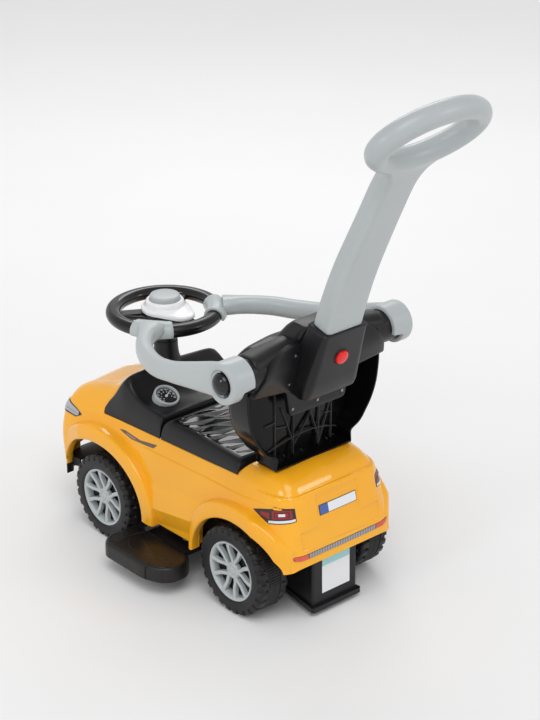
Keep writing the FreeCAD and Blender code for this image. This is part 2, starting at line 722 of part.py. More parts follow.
def body_shell():
    wall, gap = size("shell_wall"), size("part_gap")
    outer = skin(0, 0).cut(cockpit_space(0))
    shell = outer.cut(skin(wall, 2 * wall).cut(cockpit_space(wall)))
    flare, root = size("flare_width") / 2, size("sill_width") / 2 - 16
    nose, tail = size("nose_y"), size("tail_y")
    plan = prism("XY", both_sides([
        (108, nose + 10, 0), (126, nose + 34, 0), (flare, size("front_y") - 66, 0),
        (flare, size("rear_y") + 48, 0),
        (130, size("rear_y") + 92, 0), (112, tail - 6, 0)]), size("sill_height"), 260)
    for end in ("front", "rear"):
        for start in (root, -flare):
            band = arch(end, size("flare_band"), start, flare - root)
            shell = shell.fuse(band.cut(arch(end, 0, start - 1, flare - root + 2)).common(plan))
    for end in ("front", "rear"):
        for start in (60, -260):
            shell = shell.cut(arch(end, 0, start, 200))
    # the feet of the flares stand clear of the floor pan
    half, middle = size("pan_half") + gap, size("foot_mid_y")
    along = size("pan_length") / 2 + gap
    shell = shell.cut(Part.makeBox(2 * half, 2 * along, size("floor_thickness") + 20,
                                   Vector(-half, middle - along, size("floor_height") - 20)))
    # opening over the storage tub, and the hole for the steering column under the dash
    half, collar = size("cockpit_width") / 2, size("sleeve_diameter") / 2 + 2
    front = size("column_y") - collar - 1
    shell = shell.cut(Part.makeBox(2 * half, size("seat_back_y") - 4 - front, 60, Vector(-half, front, 195)))
    column = Vector(0, size("column_y"), size("sill_height"))
    shell = shell.cut(Part.makeCylinder(collar + 8, 400, column))
    for slot in back_pegs(gap):
        shell = shell.cut(slot)
    for spot in body_screw_spots():
        boss = plain_rod(9, spot, Vector(0, 0, 40))
        shell = shell.fuse(boss.common(skin(0, 2 * wall)))
        shell = shell.cut(plain_rod(size("screw_diameter") / 2, spot - Vector(0, 0, 10), Vector(0, 0, 30)))
    keep("body_shell", shaped(shell.removeSplitter()))


def back_pegs(grow):
    """Pegs under the backrest that plug into the deck, or with grow the slots for them."""
    y = size("back_front_y") + 26 - grow
    z = size("deck_height") - 14 - (20 if grow else 0)
    top = size("deck_height") + 6
    return [Part.makeBox(34 + 2 * grow, 16 + 2 * grow, top - z, Vector(x - grow, y, z)) for x in (26, -60)]


def body_screw_spots():
    """Foot of each fixing boss inside the sills."""
    x = size("sill_width") / 2 - size("shell_wall") - 10
    middle = size("foot_mid_y")
    return [Vector(side * x, middle + shift, size("floor_top")) for side in (1, -1) for shift in (-36, 36)]


def front_valance():
    nose, low = size("nose_y"), size("bumper_height") - 12 - size("part_gap")
    drop = 16
    corners = both_sides([(106, nose + 48, 0), (112, nose + 20, 12), (72, nose + 5, 20)])
    lip = prism("XY", corners, low - drop, drop)
    hollow = prism("XY", both_sides([(102, nose + 54, 0), (108, nose + 24, 9), (70, nose + 8, 18)]),
                   low - drop - 1, drop - 2)
    keep("front_valance", shaped(lip.cut(hollow)))


# chassis

def chassis():
    front_end = "front_y - 112"
    spine = bar("spine_width", front_end, "floor_height", f"rear_y + 12 - ({front_end})", "floor_thickness")
    pan = bar("2 * pan_half", "foot_mid_y - pan_length / 2", "floor_height", "pan_length", "floor_thickness")
    beam = bar("spine_width + 4", "front_y - 14", "knuckle_low - lug_thickness", "12",
               "knuckle_height + 2 * lug_thickness")
    lugs = []
    for x, root in (("king_x", "spine_width / 2 - 4"), ("-king_x", "-king_x")):
        for z in ("knuckle_low - lug_thickness", "knuckle_high"):
            lugs.append(rod("lug_diameter / 2", "lug_thickness", x, "front_y", z))
            lugs.append(box(root, "front_y - 13", z, "king_x - spine_width / 2 + 4", "18", "lug_thickness"))
    tube_half = "(hub_inner_x - part_gap)"
    tube = rod("axle_diameter / 2 + 5", f"2 * {tube_half}", f"-{tube_half}", "rear_y", "axle_z", "X")
    tail_wall = bar("spine_width", "rear_y + 10", "floor_height", "floor_thickness",
                    "tail_plate_z + floor_thickness - floor_height")
    tail_plate = bar("stop_width + 16", "rear_y + 10", "tail_plate_z", "rear_overhang - 26",
                     "floor_thickness")
    guides = []
    for x in ("26", "-82"):
        guides.append(box(x, "foot_mid_y - tongue_width / 2 - 6", "tongue_z - 5", "56", "tongue_width + 12",
                          "floor_height - tongue_z + 6"))
    slots = bar("200", "foot_mid_y - tongue_width / 2 - slide_clearance", "tongue_z - slide_clearance",
                "tongue_width + 2 * slide_clearance", "tongue_thickness + 2 * slide_clearance")
    holes = [rod("bore_radius", "knuckle_height + 2 * lug_thickness + 4", x, "front_y",
                 "knuckle_low - lug_thickness - 2") for x in ("king_x", "-king_x")]
    holes.append(rod("bore_radius", f"2 * {tube_half} + 2", f"-{tube_half} - 1", "rear_y", "axle_z", "X"))
    holes.append(rod("column_diameter / 2 + running_clearance", "floor_thickness + 2", "0", "column_y",
                     "floor_height - 1"))
    for spot in body_screw_spots():
        holes.append(shaped(plain_rod(size("screw_diameter") / 2 + size("running_clearance"),
                                      spot - Vector(0, 0, 20), Vector(0, 0, 24))))
    for spot in stop_screw_spots():
        holes.append(shaped(plain_rod(size("screw_diameter") / 2 + size("running_clearance"),
                                      spot - Vector(0, 0, 10), Vector(0, 0, 20))))
    keep("chassis", cut(fuse(spine, pan, beam, *lugs, tube, tail_wall, tail_plate, *guides), slots, *holes))
    under = [(spot - Vector(0, 0, size("floor_thickness")), Vector(0, 0, 1)) for spot in body_screw_spots()]
    keep("body_screws", shaped(screws(under, size("floor_thickness") + 16)))


def stop_screw_spots():
    """Seats of the screws that hold the rear stop under the tail plate."""
    z = size("tail_plate_z") + size("floor_thickness")
    return [Vector(side * 30, size("stop_y") + shift, z) for side in (1, -1) for shift in (20, 60)]


def anti_tip_stop():
    low, high = size("stop_clearance"), size("tail_plate_z")
    half, front = size("stop_width") / 2, size("stop_y")
    back = front + size("stop_length")
    wall, flange = size("shell_wall"), size("stop_flange")
    wires, inner = [], []
    for level, lean in ((low, 2.0), (high, 0.0)):
        for target, inset in ((wires, 0.0), (inner, wall)):
            corners = both_sides([(half - 14 - inset, front + inset, 4),
                                  (half - inset, back + lean - inset, 4)])
            target.append(rounded_wire(corners, LIFTS["XY"][0](level)))
    block = solid_loft(wires, True)
    hollow = solid_loft(inner, True)
    hollow.translate(Vector(0, 0, -2 * wall))
    foot = prism("XY", both_sides([(half - 12, front - 2, 4), (half + flange, back + 8, 5)]), low, 9)
    stop = block.fuse(foot).cut(hollow)
    for spot in stop_screw_spots():
        reach = size("tail_plate_z") - wall * 2 - 12
        boss = plain_rod(7, Vector(spot.x, spot.y, reach), Vector(0, 0, high - reach))
        stop = stop.fuse(boss)
        stop = stop.cut(plain_rod(size("screw_diameter") / 2, spot, Vector(0, 0, -20)))
    keep("anti_tip_stop", shaped(stop.removeSplitter()))
    over = [(spot, Vector(0, 0, -1)) for spot in stop_screw_spots()]
    keep("stop_screws", shaped(screws(over, 18)))


def footrests():
    reach, top, low = size("footrest_reach"), size("footrest_top"), size("foot_low")
    middle, half = size("foot_mid_y"), size("footrest_length") / 2
    inner = size("sill_width") / 2 + 2
    corners = [(inner, middle - half + 8, 4), (inner + 22, middle - half + 2, 4),
               (reach - 14, middle - half, 14), (reach, middle - half + 20, 8),
               (reach, middle + half - 26, 16), (reach - 14, middle + half - 4, 14),
               (reach - 52, middle + half, 14), (inner, middle + half - 20, 12)]
    tread = prism("XY", corners, low, top - low)
    hollow = prism("XY", [(inner + 4, middle - half + 14, 4), (reach - 6, middle - half + 14, 8),
                          (reach - 6, middle + half - 26, 12), (inner + 4, middle + half - 26, 8)],
                   low - 1, top - low - 5)
    tread = tread.cut(hollow)
    tongue = Part.makeBox(inner + 6 - 46, size("tongue_width"), size("tongue_thickness"),
                          Vector(46, middle - size("tongue_width") / 2, size("tongue_z")))
    left = keep("left_footrest", shaped(tread.fuse(tongue).removeSplitter()))
    keep("right_footrest", mirrored(left))


# dash, seat and storage

def moulded_block(side, front):
    """Solid with a given side outline and front outline."""
    span = 600.0
    return prism("YZ", side, -span / 2, span).common(prism("XZ", front, -span, 2 * span))


def dash_console():
    wall, gap = size("trim_wall"), size("part_gap")
    front, back = size("dash_front_y") + gap, size("seat_front_y") - gap
    top, seat = size("dash_height"), size("seat_height")
    rake, half = size("dash_rake"), size("belt_x")

    def side(inset, drop):
        ledge = belt_at(back + 12) + gap
        return [(front + inset, belt_at(front) + gap - drop, 0), (back + 12 - inset, ledge - drop, 0),
                (back + 12 - inset, ledge + 1 - inset, 0), (back - inset, size("hinge_z") - 13.5, 0),
                (back - inset, seat + 2 - inset, 5), (back - 35, top - 22 - inset, 30),
                (front + rake + 25, top - inset, 20), (front + rake + inset, top - 2 - inset, 3)]

    def across(inset, drop):
        low = belt_at(front) - drop
        return both_sides([(half - inset, low, 0), (half - inset, belt_at(front) + 4, 0),
                           (84 - inset, top - 8 - inset, 10), (60 - inset, top - inset + 1, 0)])
    envelope = moulded_block(side(0, 0), across(0, 0))
    cover = envelope.cut(moulded_block(side(wall, 20), across(wall, 20)))
    column = Vector(0, size("column_y"), belt_at(front) - 40)
    tube_top = size("column_seam_height") - gap
    collar = size("sleeve_diameter") / 2 + 2
    tube = Part.makeCylinder(collar, tube_top - column.z, column)
    foot = Part.makeCone(collar + 7, collar, 30, Vector(0, column.y, top - 10))
    bore_radius = size("column_diameter") / 2 + size("running_clearance")
    bore = Part.makeCylinder(bore_radius, tube_top, Vector(0, column.y, 0))
    cover = cover.fuse(tube).fuse(foot).cut(bore)
    for seat_point, way, radius in gauge_seats():
        cup = plain_rod(radius + gap + wall, seat_point - way * wall, way * 40)
        cover = cover.fuse(cup.common(envelope)).cut(plain_rod(radius + gap / 2, seat_point, way * 60))
    lug_x, hinge = 62.0, Vector(0, size("hinge_y"), size("hinge_z"))
    for x in (lug_x, -lug_x - 10):
        lug = Part.makeBox(10, size("hinge_y") - back + wall + 3, 10, Vector(x, back - wall, hinge.z - 8))
        cover = cover.fuse(lug)
    pin_bore = size("hinge_pin_diameter") / 2 + size("running_clearance")
    cover = cover.cut(plain_rod(pin_bore, hinge - Vector(100, 0, 0), Vector(200, 0, 0)))
    keep("dash_console", shaped(cover.removeSplitter()))
    half_pin = lug_x + 10
    pin = rod("hinge_pin_diameter / 2", str(2 * half_pin), str(-half_pin), "hinge_y", "hinge_z", "X")
    keep("seat_hinge_pin", pin)


def gauge_seats():
    """Seat point, outward direction and radius of the two round gauges on the dash."""
    way = Vector(0, 0.45, 0.89).normalize()
    spots = []
    for sign in (1, -1):
        spot = Vector(sign * size("gauge_spacing") / 2, size("seat_front_y") - 50, size("dash_height") - 36)
        spots.append((spot, way, size("gauge_diameter") / 2))
    return spots


def gauges():
    bezels, dials = [], []
    for seat, way, radius in gauge_seats():
        ring = plain_rod(radius, seat, way * 12).cut(plain_rod(radius - 4, seat + way * 2, way * 20))
        bezels.append(ring)
        floor = seat + way * (2 + size("running_clearance"))
        dials.append(plain_rod(radius - 4 - size("part_gap") / 2, floor, way * 5))
    keep("gauge_bezels", shaped(Part.Compound(bezels)))
    keep("gauge_dials", shaped(Part.Compound(dials)))


def seat_lid():
    wall, gap = size("trim_wall"), size("part_gap")
    front, back = size("seat_front_y") + gap, size("seat_back_y") - size("seat_gap")
    top, half, edge = size("seat_height"), size("belt_x"), size("lid_hinge_radius")
    lift = gap + 0.3

    def side(inset, drop):
        return [(front + 13 + inset, belt_at(front + 13) + lift - drop, 0),
                (back - inset, belt_at(back) + lift - drop, 0), (back + 14 - inset, top - 2 - inset, 5),
                (front + 70, top - 7 - inset, 70), (front + inset, top - inset, max(edge - inset, 1)),
                (front + inset, size("hinge_z") - 13, 0)]

    def across(inset, drop):
        low = belt_at(front) - drop
        return both_sides([(half - inset, low, 0), (half - 1 - inset, belt_at(back) + 3, 0),
                           (half - 18 - inset, top + 4, 0)])
    lid = moulded_block(side(0, 0), across(0, 0)).cut(moulded_block(side(wall, 20), across(wall, 20)))
    lug_x, hinge = 62.0 - gap, Vector(0, size("hinge_y"), size("hinge_z"))
    barrel = plain_rod(edge - 2, hinge - Vector(lug_x, 0, 0), Vector(2 * lug_x, 0, 0))
    pin_bore = size("hinge_pin_diameter") / 2 + size("running_clearance")
    lid = lid.fuse(barrel).cut(plain_rod(pin_bore, hinge - Vector(100, 0, 0), Vector(200, 0, 0)))
    # the console's hinge lugs pass through notches in the lid's front edge
    for x in (lug_x, -lug_x - 11):
        lid = lid.cut(Part.makeBox(11, edge + 14, 60, Vector(x, front - 2, hinge.z - 40)))
    keep("seat_lid", shaped(lid.removeSplitter()))


def storage_tub():
    wall, gap = size("tub_wall"), size("part_gap")
    front, back = size("seat_front_y") + 26, size("seat_back_y") - 14
    half = size("hub_inner_x") - 6
    top = size("belt_height") + gap
    low = top - size("tub_depth")

    def plan(inset):
        return both_sides([(half - inset, front + inset, 10), (half - inset, back - inset, 10)])
    tub = prism("XY", plan(0), low, top + wall - low)
    rim_half = size("cockpit_width") / 2 + 6
    rim = prism("XY", both_sides([(rim_half, front - 8, 6), (rim_half, back + 8, 6)]), top, wall)
    tub = tub.fuse(rim).cut(prism("XY", plan(wall), low + wall, top))
    tub.rotate(Vector(0, size("seat_mid_y"), size("belt_height")), Vector(1, 0, 0),
               math.degrees(math.atan(size("belt_slope"))))
    keep("storage_tub", shaped(tub.removeSplitter()))


# backrest

def backrest_outline(inset):
    """Front view of the backrest: skirt, round flanks, shoulders and the hump for the handle."""
    half, skirt = size("backrest_width") / 2, size("skirt_width") / 2
    low, top, mouth = size("deck_height") + size("part_gap"), size("backrest_top"), size("mouth_height")
    pivot = size("pivot_height")
    return both_sides([
        (skirt - inset, low + inset, 0), (skirt - inset, low + 24, 0), (skirt + 22 - inset, low + 32, 20),
        (half - 4 - inset, low + 78, 46), (half - inset, pivot - 66, 40), (half - 8 - inset, pivot + 4, 20),
        (half - 52 - inset, top - inset, 24), (62 - inset, top - inset, 4), (50 - inset, mouth - inset, 12)])


def tang_frame():
    """Mouth of the handle socket, the way the handle points and the way its back face looks."""
    lean = math.radians(size("handle_lean"))
    return (Vector(0, size("mouth_y"), size("mouth_height")), Vector(0, math.sin(lean), math.cos(lean)),
            Vector(0, math.cos(lean), -math.sin(lean)))


def leaning_box(width, along_from, along_to, back_from, back_to, taper=0.0):
    """Block in the handle's leaning frame: along the handle, and towards its back."""
    mouth, up, back = tang_frame()
    corners = []
    for along, half in ((along_from, width / 2 + taper), (along_to, width / 2)):
        level = [mouth + up * along + back * depth + Vector(x, 0, 0)
                 for x, depth in ((half, back_from), (half, back_to), (-half, back_to), (-half, back_from))]
        corners.append(Part.makePolygon(level + level[:1]))
    return solid_loft(corners, True)


def tang_space(gap):
    width = size("stem_width") - 2 * size("tang_step") + 2 * gap
    depth = size("stem_depth") / 2 - size("tang_step") + gap
    return leaning_box(width, -size("tang_length") - 2 * gap, 30, -depth, depth)


def backrest_shell():
    wall, gap = size("backrest_wall"), size("part_gap")
    front, back = size("back_front_y"), size("back_rear_y")
    depth = back - front
    shell = prism("XZ", backrest_outline(0), front, depth)
    hollow = prism("XZ", backrest_outline(wall), front + wall, depth)
    # the scoop that a child leans into: a shallow upright round hollow between the wings
    scoop_depth, scoop_half = depth * 0.45, size("backrest_width") / 2 - 16
    radius = (scoop_half ** 2 + scoop_depth ** 2) / (2 * scoop_depth)
    centre = Vector(0, front + scoop_depth - radius, 0)
    scoop = Part.makeCylinder(radius, 900, centre)
    behind_scoop = Part.makeCylinder(radius + wall, 900, centre)
    shell = shell.cut(scoop).cut(hollow.cut(behind_scoop))
    # the hump round the socket falls away towards the front
    top, mouth = size("backrest_top"), size("mouth_height")
    shell = shell.cut(prism("YZ", [(front - 20, top + 3, 0), (front + 16, top + 3, 0),
                                   (back - 8, mouth - 2, 0), (back - 8, mouth + 60, 0),
                                   (front - 20, mouth + 60, 0)], -300, 600))
    # ribs in the open back
    low = size("deck_height") + 2
    high = size("pivot_height") - 60
    ribs = [Part.makeBox(2.5, depth, high - low, Vector(x - 1.25, front, low))
            for x in (-62, -32, 0, 32, 62)]
    for sign in (1, -1):
        rib = Part.makeBox(2.5, depth, 150, Vector(-1.25, front, -75))
        rib.rotate(Vector(), Vector(0, 1, 0), sign * 24)
        rib.translate(Vector(0, 0, low + 66))
        ribs.append(rib)
    ribs.append(Part.makeBox(2 * 100, depth - 6, 2.5, Vector(-100, front, low + 34)))
    inside = prism("XZ", backrest_outline(wall - 1), front, depth - 4).cut(scoop)
    for rib in ribs:
        shell = shell.fuse(rib.common(inside))
    pivot = Vector(0, size("pivot_y"), size("pivot_height"))
    collar_start = size("backrest_width") / 2 - 50
    reach = size("trunnion_reach")
    for sign in (1, -1):
        shell = shell.fuse(plain_rod(size("trunnion_r"), pivot + Vector(sign * collar_start, 0, 0),
                                     Vector(sign * (reach - collar_start), 0, 0)))
    for sign in (1, -1):
        shell = shell.cut(plain_rod(size("trunnion_r") - 5, pivot + Vector(sign * (collar_start + 30), 0, 0),
                                    Vector(sign * 200, 0, 0)))
    for peg in back_pegs(0):
        shell = shell.fuse(peg)
    shell = shell.cut(tang_space(gap)).cut(cover_solid(gap))
    keep("backrest_shell", shaped(shell.removeSplitter()))


def cover_plate_outline(grow):
    pivot, mouth = size("pivot_height"), size("mouth_height")
    half = size("backrest_width") / 2 - 48
    return both_sides([(64 + grow, pivot - 92 - grow, 6), (64 + grow, pivot - 44, 4),
                       (half + grow, pivot - 40, 6), (half + grow, pivot + 6, 20),
                       (52 + grow, mouth - 34 + grow, 4)])


def cover_solid(grow):
    """Rear cover with its socket, without the handle's hole."""
    back = size("back_rear_y")
    plate = prism("XZ", cover_plate_outline(grow), back - 2 - grow, 8 + 2 * grow)
    reach = size("stem_depth") / 2 + size("socket_wall")
    width = size("stem_width") + 2 * size("socket_wall") + 8 + 2 * grow
    socket = leaning_box(width, -size("tang_length") - 6 - grow, grow, -reach + 2 - grow, reach + grow, 12)
    ahead = Part.makeBox(400, 200, 900, Vector(-200, back - 2 - grow - 200, 0))
    return plate.fuse(socket.cut(ahead))


def release_spot():
    """Point of the socket's back face where the button sits, and the way it is pressed."""
    mouth, up, back = tang_frame()
    face = size("stem_depth") / 2 + size("socket_wall")
    return mouth + up * -50 + back * face, back * -1


def cover_screw_spots():
    pivot, back = size("pivot_height"), size("back_rear_y") + 6
    rows = [(54, pivot - 82), (0, pivot - 82), (-54, pivot - 82), (74, pivot - 30), (-74, pivot - 30),
            (62, pivot + 22), (-62, pivot + 22)]
    return [Vector(x, back, z) for x, z in rows]


def release_depths():
    """Depths below the socket's back face: spring seat, tang face and catch tip."""
    tang = size("socket_wall") + size("tang_step")
    return tang - 2.4, tang - size("part_gap"), tang + 3


def backrest_rear_cover():
    gap = size("part_gap")
    cover = cover_solid(0).cut(tang_space(gap))
    spot, press = release_spot()
    seat, _, tip = release_depths()
    cover = cover.cut(plain_rod(size("button_diameter") / 2 + gap, spot - press * 2, press * (seat + 2)))
    cover = cover.cut(plain_rod(4 + gap, spot, press * (tip + 4)))
    pivot = Vector(0, size("pivot_y"), size("pivot_height"))
    inner = size("backrest_width") / 2 - 50 - gap
    trunnions = plain_rod(size("trunnion_r") + gap, pivot - Vector(300, 0, 0), Vector(600, 0, 0))
    cover = cover.cut(trunnions.cut(Part.makeBox(2 * inner, 400, 900, Vector(-inner, pivot.y - 200, 0))))
    hole = size("screw_diameter") / 2 + size("running_clearance")
    for screw in cover_screw_spots():
        cover = cover.cut(plain_rod(hole, screw, Vector(0, -14, 0)))
    keep("backrest_rear_cover", shaped(cover.removeSplitter()))
    keep("cover_screws", shaped(screws([(seat, Vector(0, -1, 0)) for seat in cover_screw_spots()], 8)))


def release_button():
    spot, press = release_spot()
    radius, clear = size("button_diameter") / 2, size("running_clearance")
    seat, _, tip = release_depths()
    cap = plain_rod(radius, spot - press * 6, press * 6)
    keep("release_button", shaped(cap.fuse(plain_rod(4, spot, press * tip)).removeSplitter()))
    coil = plain_rod(radius - 2, spot + press * clear, press * (seat - 2 * clear))
    coil = coil.cut(plain_rod(radius - 2 - size("spring_wall"), spot - press, press * 20))
    keep("release_spring", shaped(coil))


def handle():
    mouth, up, back = tang_frame()
    width, depth = size("stem_width"), size("stem_depth")
    step, gap = size("tang_step"), size("part_gap")
    lean = math.radians(size("handle_lean"))
    runs = [(size("stem_low_length"), math.radians(size("stem_low_bend"))), (size("stem_straight"), 0.0),
            (size("stem_high_length"), math.radians(size("stem_high_bend")))]
    total = sum(length for length, _ in runs)

    def along(distance):
        """Point of the stem's centre line and its lean, in the car's middle plane."""
        spot, angle = mouth, lean
        for length, bend in runs:
            part = min(distance, length)
            turn = bend * part / length
            chord = part if turn == 0 else 2 * length / bend * math.sin(turn / 2)
            spot = spot + Vector(0, math.sin(angle + turn / 2), math.cos(angle + turn / 2)) * chord
            angle += turn
            distance -= part
        return spot, angle

    def section(share, wide, deep, round_):
        spot, angle = along(total * share + gap)
        across = Vector(0, math.cos(angle), -math.sin(angle))
        corners = [(x * wide / 2, y * deep / 2, round_) for x, y in ((1, -1), (1, 1), (-1, 1), (-1, -1))]
        return rounded_wire(corners, lambda p: spot + Vector(p.x, 0, 0) + across * p.y)
    grip_deep = size("grip_thickness") * 1.05
    stations = [(0, width, depth, 9), (0.2, width - 2, depth - 1, 9), (0.4, width - 5, depth - 2, 10),
                (0.65, width - 9, depth - 3, 11), (0.86, width - 10, depth - 3, 12),
                (0.95, width + 8, grip_deep - 5, 13), (0.999, width + 34, grip_deep - 4, 14)]
    stem = solid_loft([section(*station) for station in stations])
    tang = leaning_box(width - 2 * step, -size("tang_length"), gap + 2, step - depth / 2, depth / 2 - step)
    # grip loop: an oval ring in the plane of the stem's upper end
    end, angle = along(total)
    upward = Vector(0, math.sin(angle), math.cos(angle))
    tube = size("grip_thickness") / 2
    half_wide, half_high = size("grip_width") / 2 - tube, size("grip_height") / 2 - tube
    centre = end + upward * half_high
    oval = Part.Ellipse(centre + Vector(half_wide, 0, 0), centre + upward * half_high, centre)
    path = Part.Wire(oval.toShape())
    normal = upward.cross(Vector(1, 0, 0))
    start = centre + Vector(half_wide, 0, 0)
    axes = sorted([Vector(tube, 0, 0), normal * (grip_deep / 2)], key=lambda axis: -axis.Length)
    ring = Part.Ellipse(start + axes[0], start + axes[1], start)
    loop = path.makePipeShell([Part.Wire(ring.toShape())], True, True)
    wall = size("stem_wall")
    floor = size("stem_floor")
    bore = solid_loft([section(max(share, floor / total), wide - 2 * wall, deep - 2 * wall, round_ - wall)
                       for share, wide, deep, round_ in stations[:5]])
    bore = bore.fuse(leaning_box(width - 2 * step - 2 * wall, -size("tang_length") - 1, gap + floor + 2,
                                 step + wall - depth / 2, depth / 2 - step - wall))
    whole = stem.fuse(tang).fuse(loop).cut(bore)
    # groove that lets the catch slide down the tang as the handle is pulled out
    groove = leaning_box(10, -size("tang_length") - 1, -44, depth / 2 - step - 9.5, depth / 2)
    keep("handle", shaped(whole.cut(groove).removeSplitter()))


# guard arms

def guard_arms():
    pivot = Vector(0, size("pivot_y"), size("pivot_height"))
    x = size("arm_x")
    wide, tall = size("arm_thickness") / 2, size("arm_height") / 2
    # the arm runs ahead from the pivot, drops, and bends in to sit on the steering rim
    rim = Vector(0, size("column_y"), size("rim_height"))
    sit = math.radians(38)
    rim_spot = rim + Vector(math.cos(sit), math.sin(sit), 0) * size("rim_radius")
    inward, reach, drop = x - rim_spot.x, pivot.y - rim_spot.y, size("arm_drop")
    shares = [(0, 0, 0), (0, 0.25, 0.40), (0.01, 0.44, 0.73), (0.07, 0.57, 0.92), (0.18, 0.68, 1.0),
              (0.36, 0.80, 1.0), (0.65, 0.91, 1.0), (0.94, 0.985, 1.0)]
    points = [pivot + Vector(x - inward * a, -reach * b, -drop * c) for a, b, c in shares]
    curve = Part.BSplineCurve()
    curve.interpolate(points)
    path = Part.Wire(curve.toShape())
    start = points[0]
    heading = Vector(*curve.tangent(curve.FirstParameter)[0])
    up = Vector(1, 0, 0).cross(heading).normalize()
    if up.z < 0:
        up = up * -1
    section = Part.Ellipse(start + up * tall, start + Vector(wide, 0, 0), start)
    arm = Part.BRepOffsetAPI.MakePipeShell(path)
    arm.setBiNormalMode(Vector(0, 0, 1))
    arm.add(Part.Wire(section.toShape()))
    arm.build()
    arm.makeSolid()
    arm = arm.shape()
    cuff = plain_rod(size("cuff_r"), pivot + Vector(size("cuff_start"), 0, 0),
                     Vector(x + wide - size("cuff_start"), 0, 0))
    arm = arm.fuse(cuff)
    bore_end = size("trunnion_reach") + size("part_gap")
    arm = arm.cut(plain_rod(size("cuff_bore"), pivot + Vector(100, 0, 0), Vector(bore_end - 100, 0, 0)))
    # the cuff is open below, from its inner end to the arm
    mouth_half = size("cuff_bore") * 0.5
    arm = arm.cut(Part.makeBox(x - wide - 6 - 100, 2 * mouth_half, 100,
                               Vector(100, pivot.y - mouth_half, pivot.z - 100)))
    # saddle over the steering rim
    tube, gap = size("rim_tube"), size("saddle_gap")
    hold = tube + gap + size("saddle_wall")
    saddle = Part.makeTorus(size("rim_radius"), hold, rim, Vector(0, 0, 1), -180, 180, 46)
    saddle.rotate(rim, Vector(0, 0, 1), math.degrees(sit) - 23)
    saddle = saddle.cut(Part.makeBox(600, 600, 100, rim + Vector(-300, -300, -108)))
    ring = Part.makeTorus(size("rim_radius"), tube + gap, rim)
    drop_way = Part.makeCylinder(size("rim_radius") + tube + gap, 60, rim - Vector(0, 0, 60)).cut(
        Part.makeCylinder(size("rim_radius") - tube - gap, 60, rim - Vector(0, 0, 60)))
    arm = arm.fuse(saddle).cut(ring.fuse(drop_way))
    button = size("arm_button_diameter") / 2
    face = x + wide
    recess = 12.0
    well = pivot + Vector(face + 1, 0, 0)
    arm = arm.cut(plain_rod(button + size("part_gap"), well, Vector(-recess - 1, 0, 0)))
    left = keep("left_guard_arm", shaped(arm.removeSplitter()))
    keep("right_guard_arm", mirrored(left))

    travel = size("arm_button_travel")
    back = pivot + Vector(face - recess + travel + size("part_gap"), 0, 0)
    proud = 4.0
    stem = plain_rod(button, back, Vector(recess - travel - size("part_gap") - 2, 0, 0))
    dome_radius = (button ** 2 + (proud + 2) ** 2) / (2 * (proud + 2))
    dome = Part.makeSphere(dome_radius, pivot + Vector(face + proud - dome_radius, 0, 0)).common(
        plain_rod(button, pivot + Vector(face - 2, 0, 0), Vector(20, 0, 0)))
    left = keep("left_arm_button", shaped(stem.fuse(dome).removeSplitter()))
    keep("right_arm_button", mirrored(left))
    coil_length = travel + size("part_gap") - 2 * size("running_clearance")
    coil_start = pivot + Vector(face - recess + size("running_clearance"), 0, 0)
    coil = plain_rod(12, coil_start, Vector(coil_length, 0, 0)).cut(
        plain_rod(12 - size("spring_wall"), coil_start - Vector(1, 0, 0), Vector(20, 0, 0)))
    left = keep("left_arm_spring", shaped(coil))
    keep("right_arm_spring", mirrored(left))


wheels()
axles()
steering_gear()
steering_wheel()
body_shell()
front_valance()
chassis()
anti_tip_stop()
footrests()
dash_console()
gauges()
seat_lid()
storage_tub()
backrest_shell()
backrest_rear_cover()
release_button()
handle()
guard_arms()
doc.recompute()

for obj in doc.Objects:
    if "Invalid" in obj.State or "Error" in obj.State:
        raise RuntimeError(f"{obj.Label} failed to build: {obj.State}")
for name, obj in nodes.items():
    if obj.Shape.isNull() or not obj.Shape.isValid() or not obj.Shape.Solids:
        raise RuntimeError(f"{name} has no valid solid")

os.makedirs("parts", exist_ok=True)
for name, obj in nodes.items():
    obj.Shape.exportStep(os.path.join("parts", name + ".step"))
    box_ = obj.Shape.BoundBox
    print(name, len(obj.Shape.Solids), "solids", round(obj.Shape.Volume / 1000, 1), "cm3",
          [round(v) for v in (box_.XMin, box_.XMax, box_.YMin, box_.YMax, box_.ZMin, box_.ZMax)])
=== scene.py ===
"""Looks of the push car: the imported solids, smooth moulded skins and small trim over them."""
import json
import math

import bmesh
import bpy
import numpy as np
from mathutils import Matrix, Vector
from mathutils.bvhtree import BVHTree


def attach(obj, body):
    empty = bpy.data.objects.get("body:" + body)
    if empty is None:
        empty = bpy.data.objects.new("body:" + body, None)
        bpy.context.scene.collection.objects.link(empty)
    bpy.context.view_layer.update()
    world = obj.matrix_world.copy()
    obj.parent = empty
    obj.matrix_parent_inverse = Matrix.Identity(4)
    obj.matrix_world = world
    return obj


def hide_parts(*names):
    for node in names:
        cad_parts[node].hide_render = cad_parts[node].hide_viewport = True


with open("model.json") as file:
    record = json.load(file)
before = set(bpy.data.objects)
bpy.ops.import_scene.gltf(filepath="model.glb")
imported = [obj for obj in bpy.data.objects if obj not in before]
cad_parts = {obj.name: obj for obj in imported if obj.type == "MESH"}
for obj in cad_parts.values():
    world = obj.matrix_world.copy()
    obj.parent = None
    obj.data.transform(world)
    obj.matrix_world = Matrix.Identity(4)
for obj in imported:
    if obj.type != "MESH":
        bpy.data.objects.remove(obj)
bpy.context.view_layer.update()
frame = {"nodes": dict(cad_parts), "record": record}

MM = 0.001
nodes = frame["nodes"]
scene = bpy.context.scene
BODIES = frame["record"]["behaviour"]["bodies"]
BODY_OF = {node: body for body, members in BODIES.items() for node in members}
SIDES = ((1, "left"), (-1, "right"))


# materials

FLOW_SCALE, PATCH_SCALE, GRAIN_DEPTH = 6.0, 14.0, 0.0006


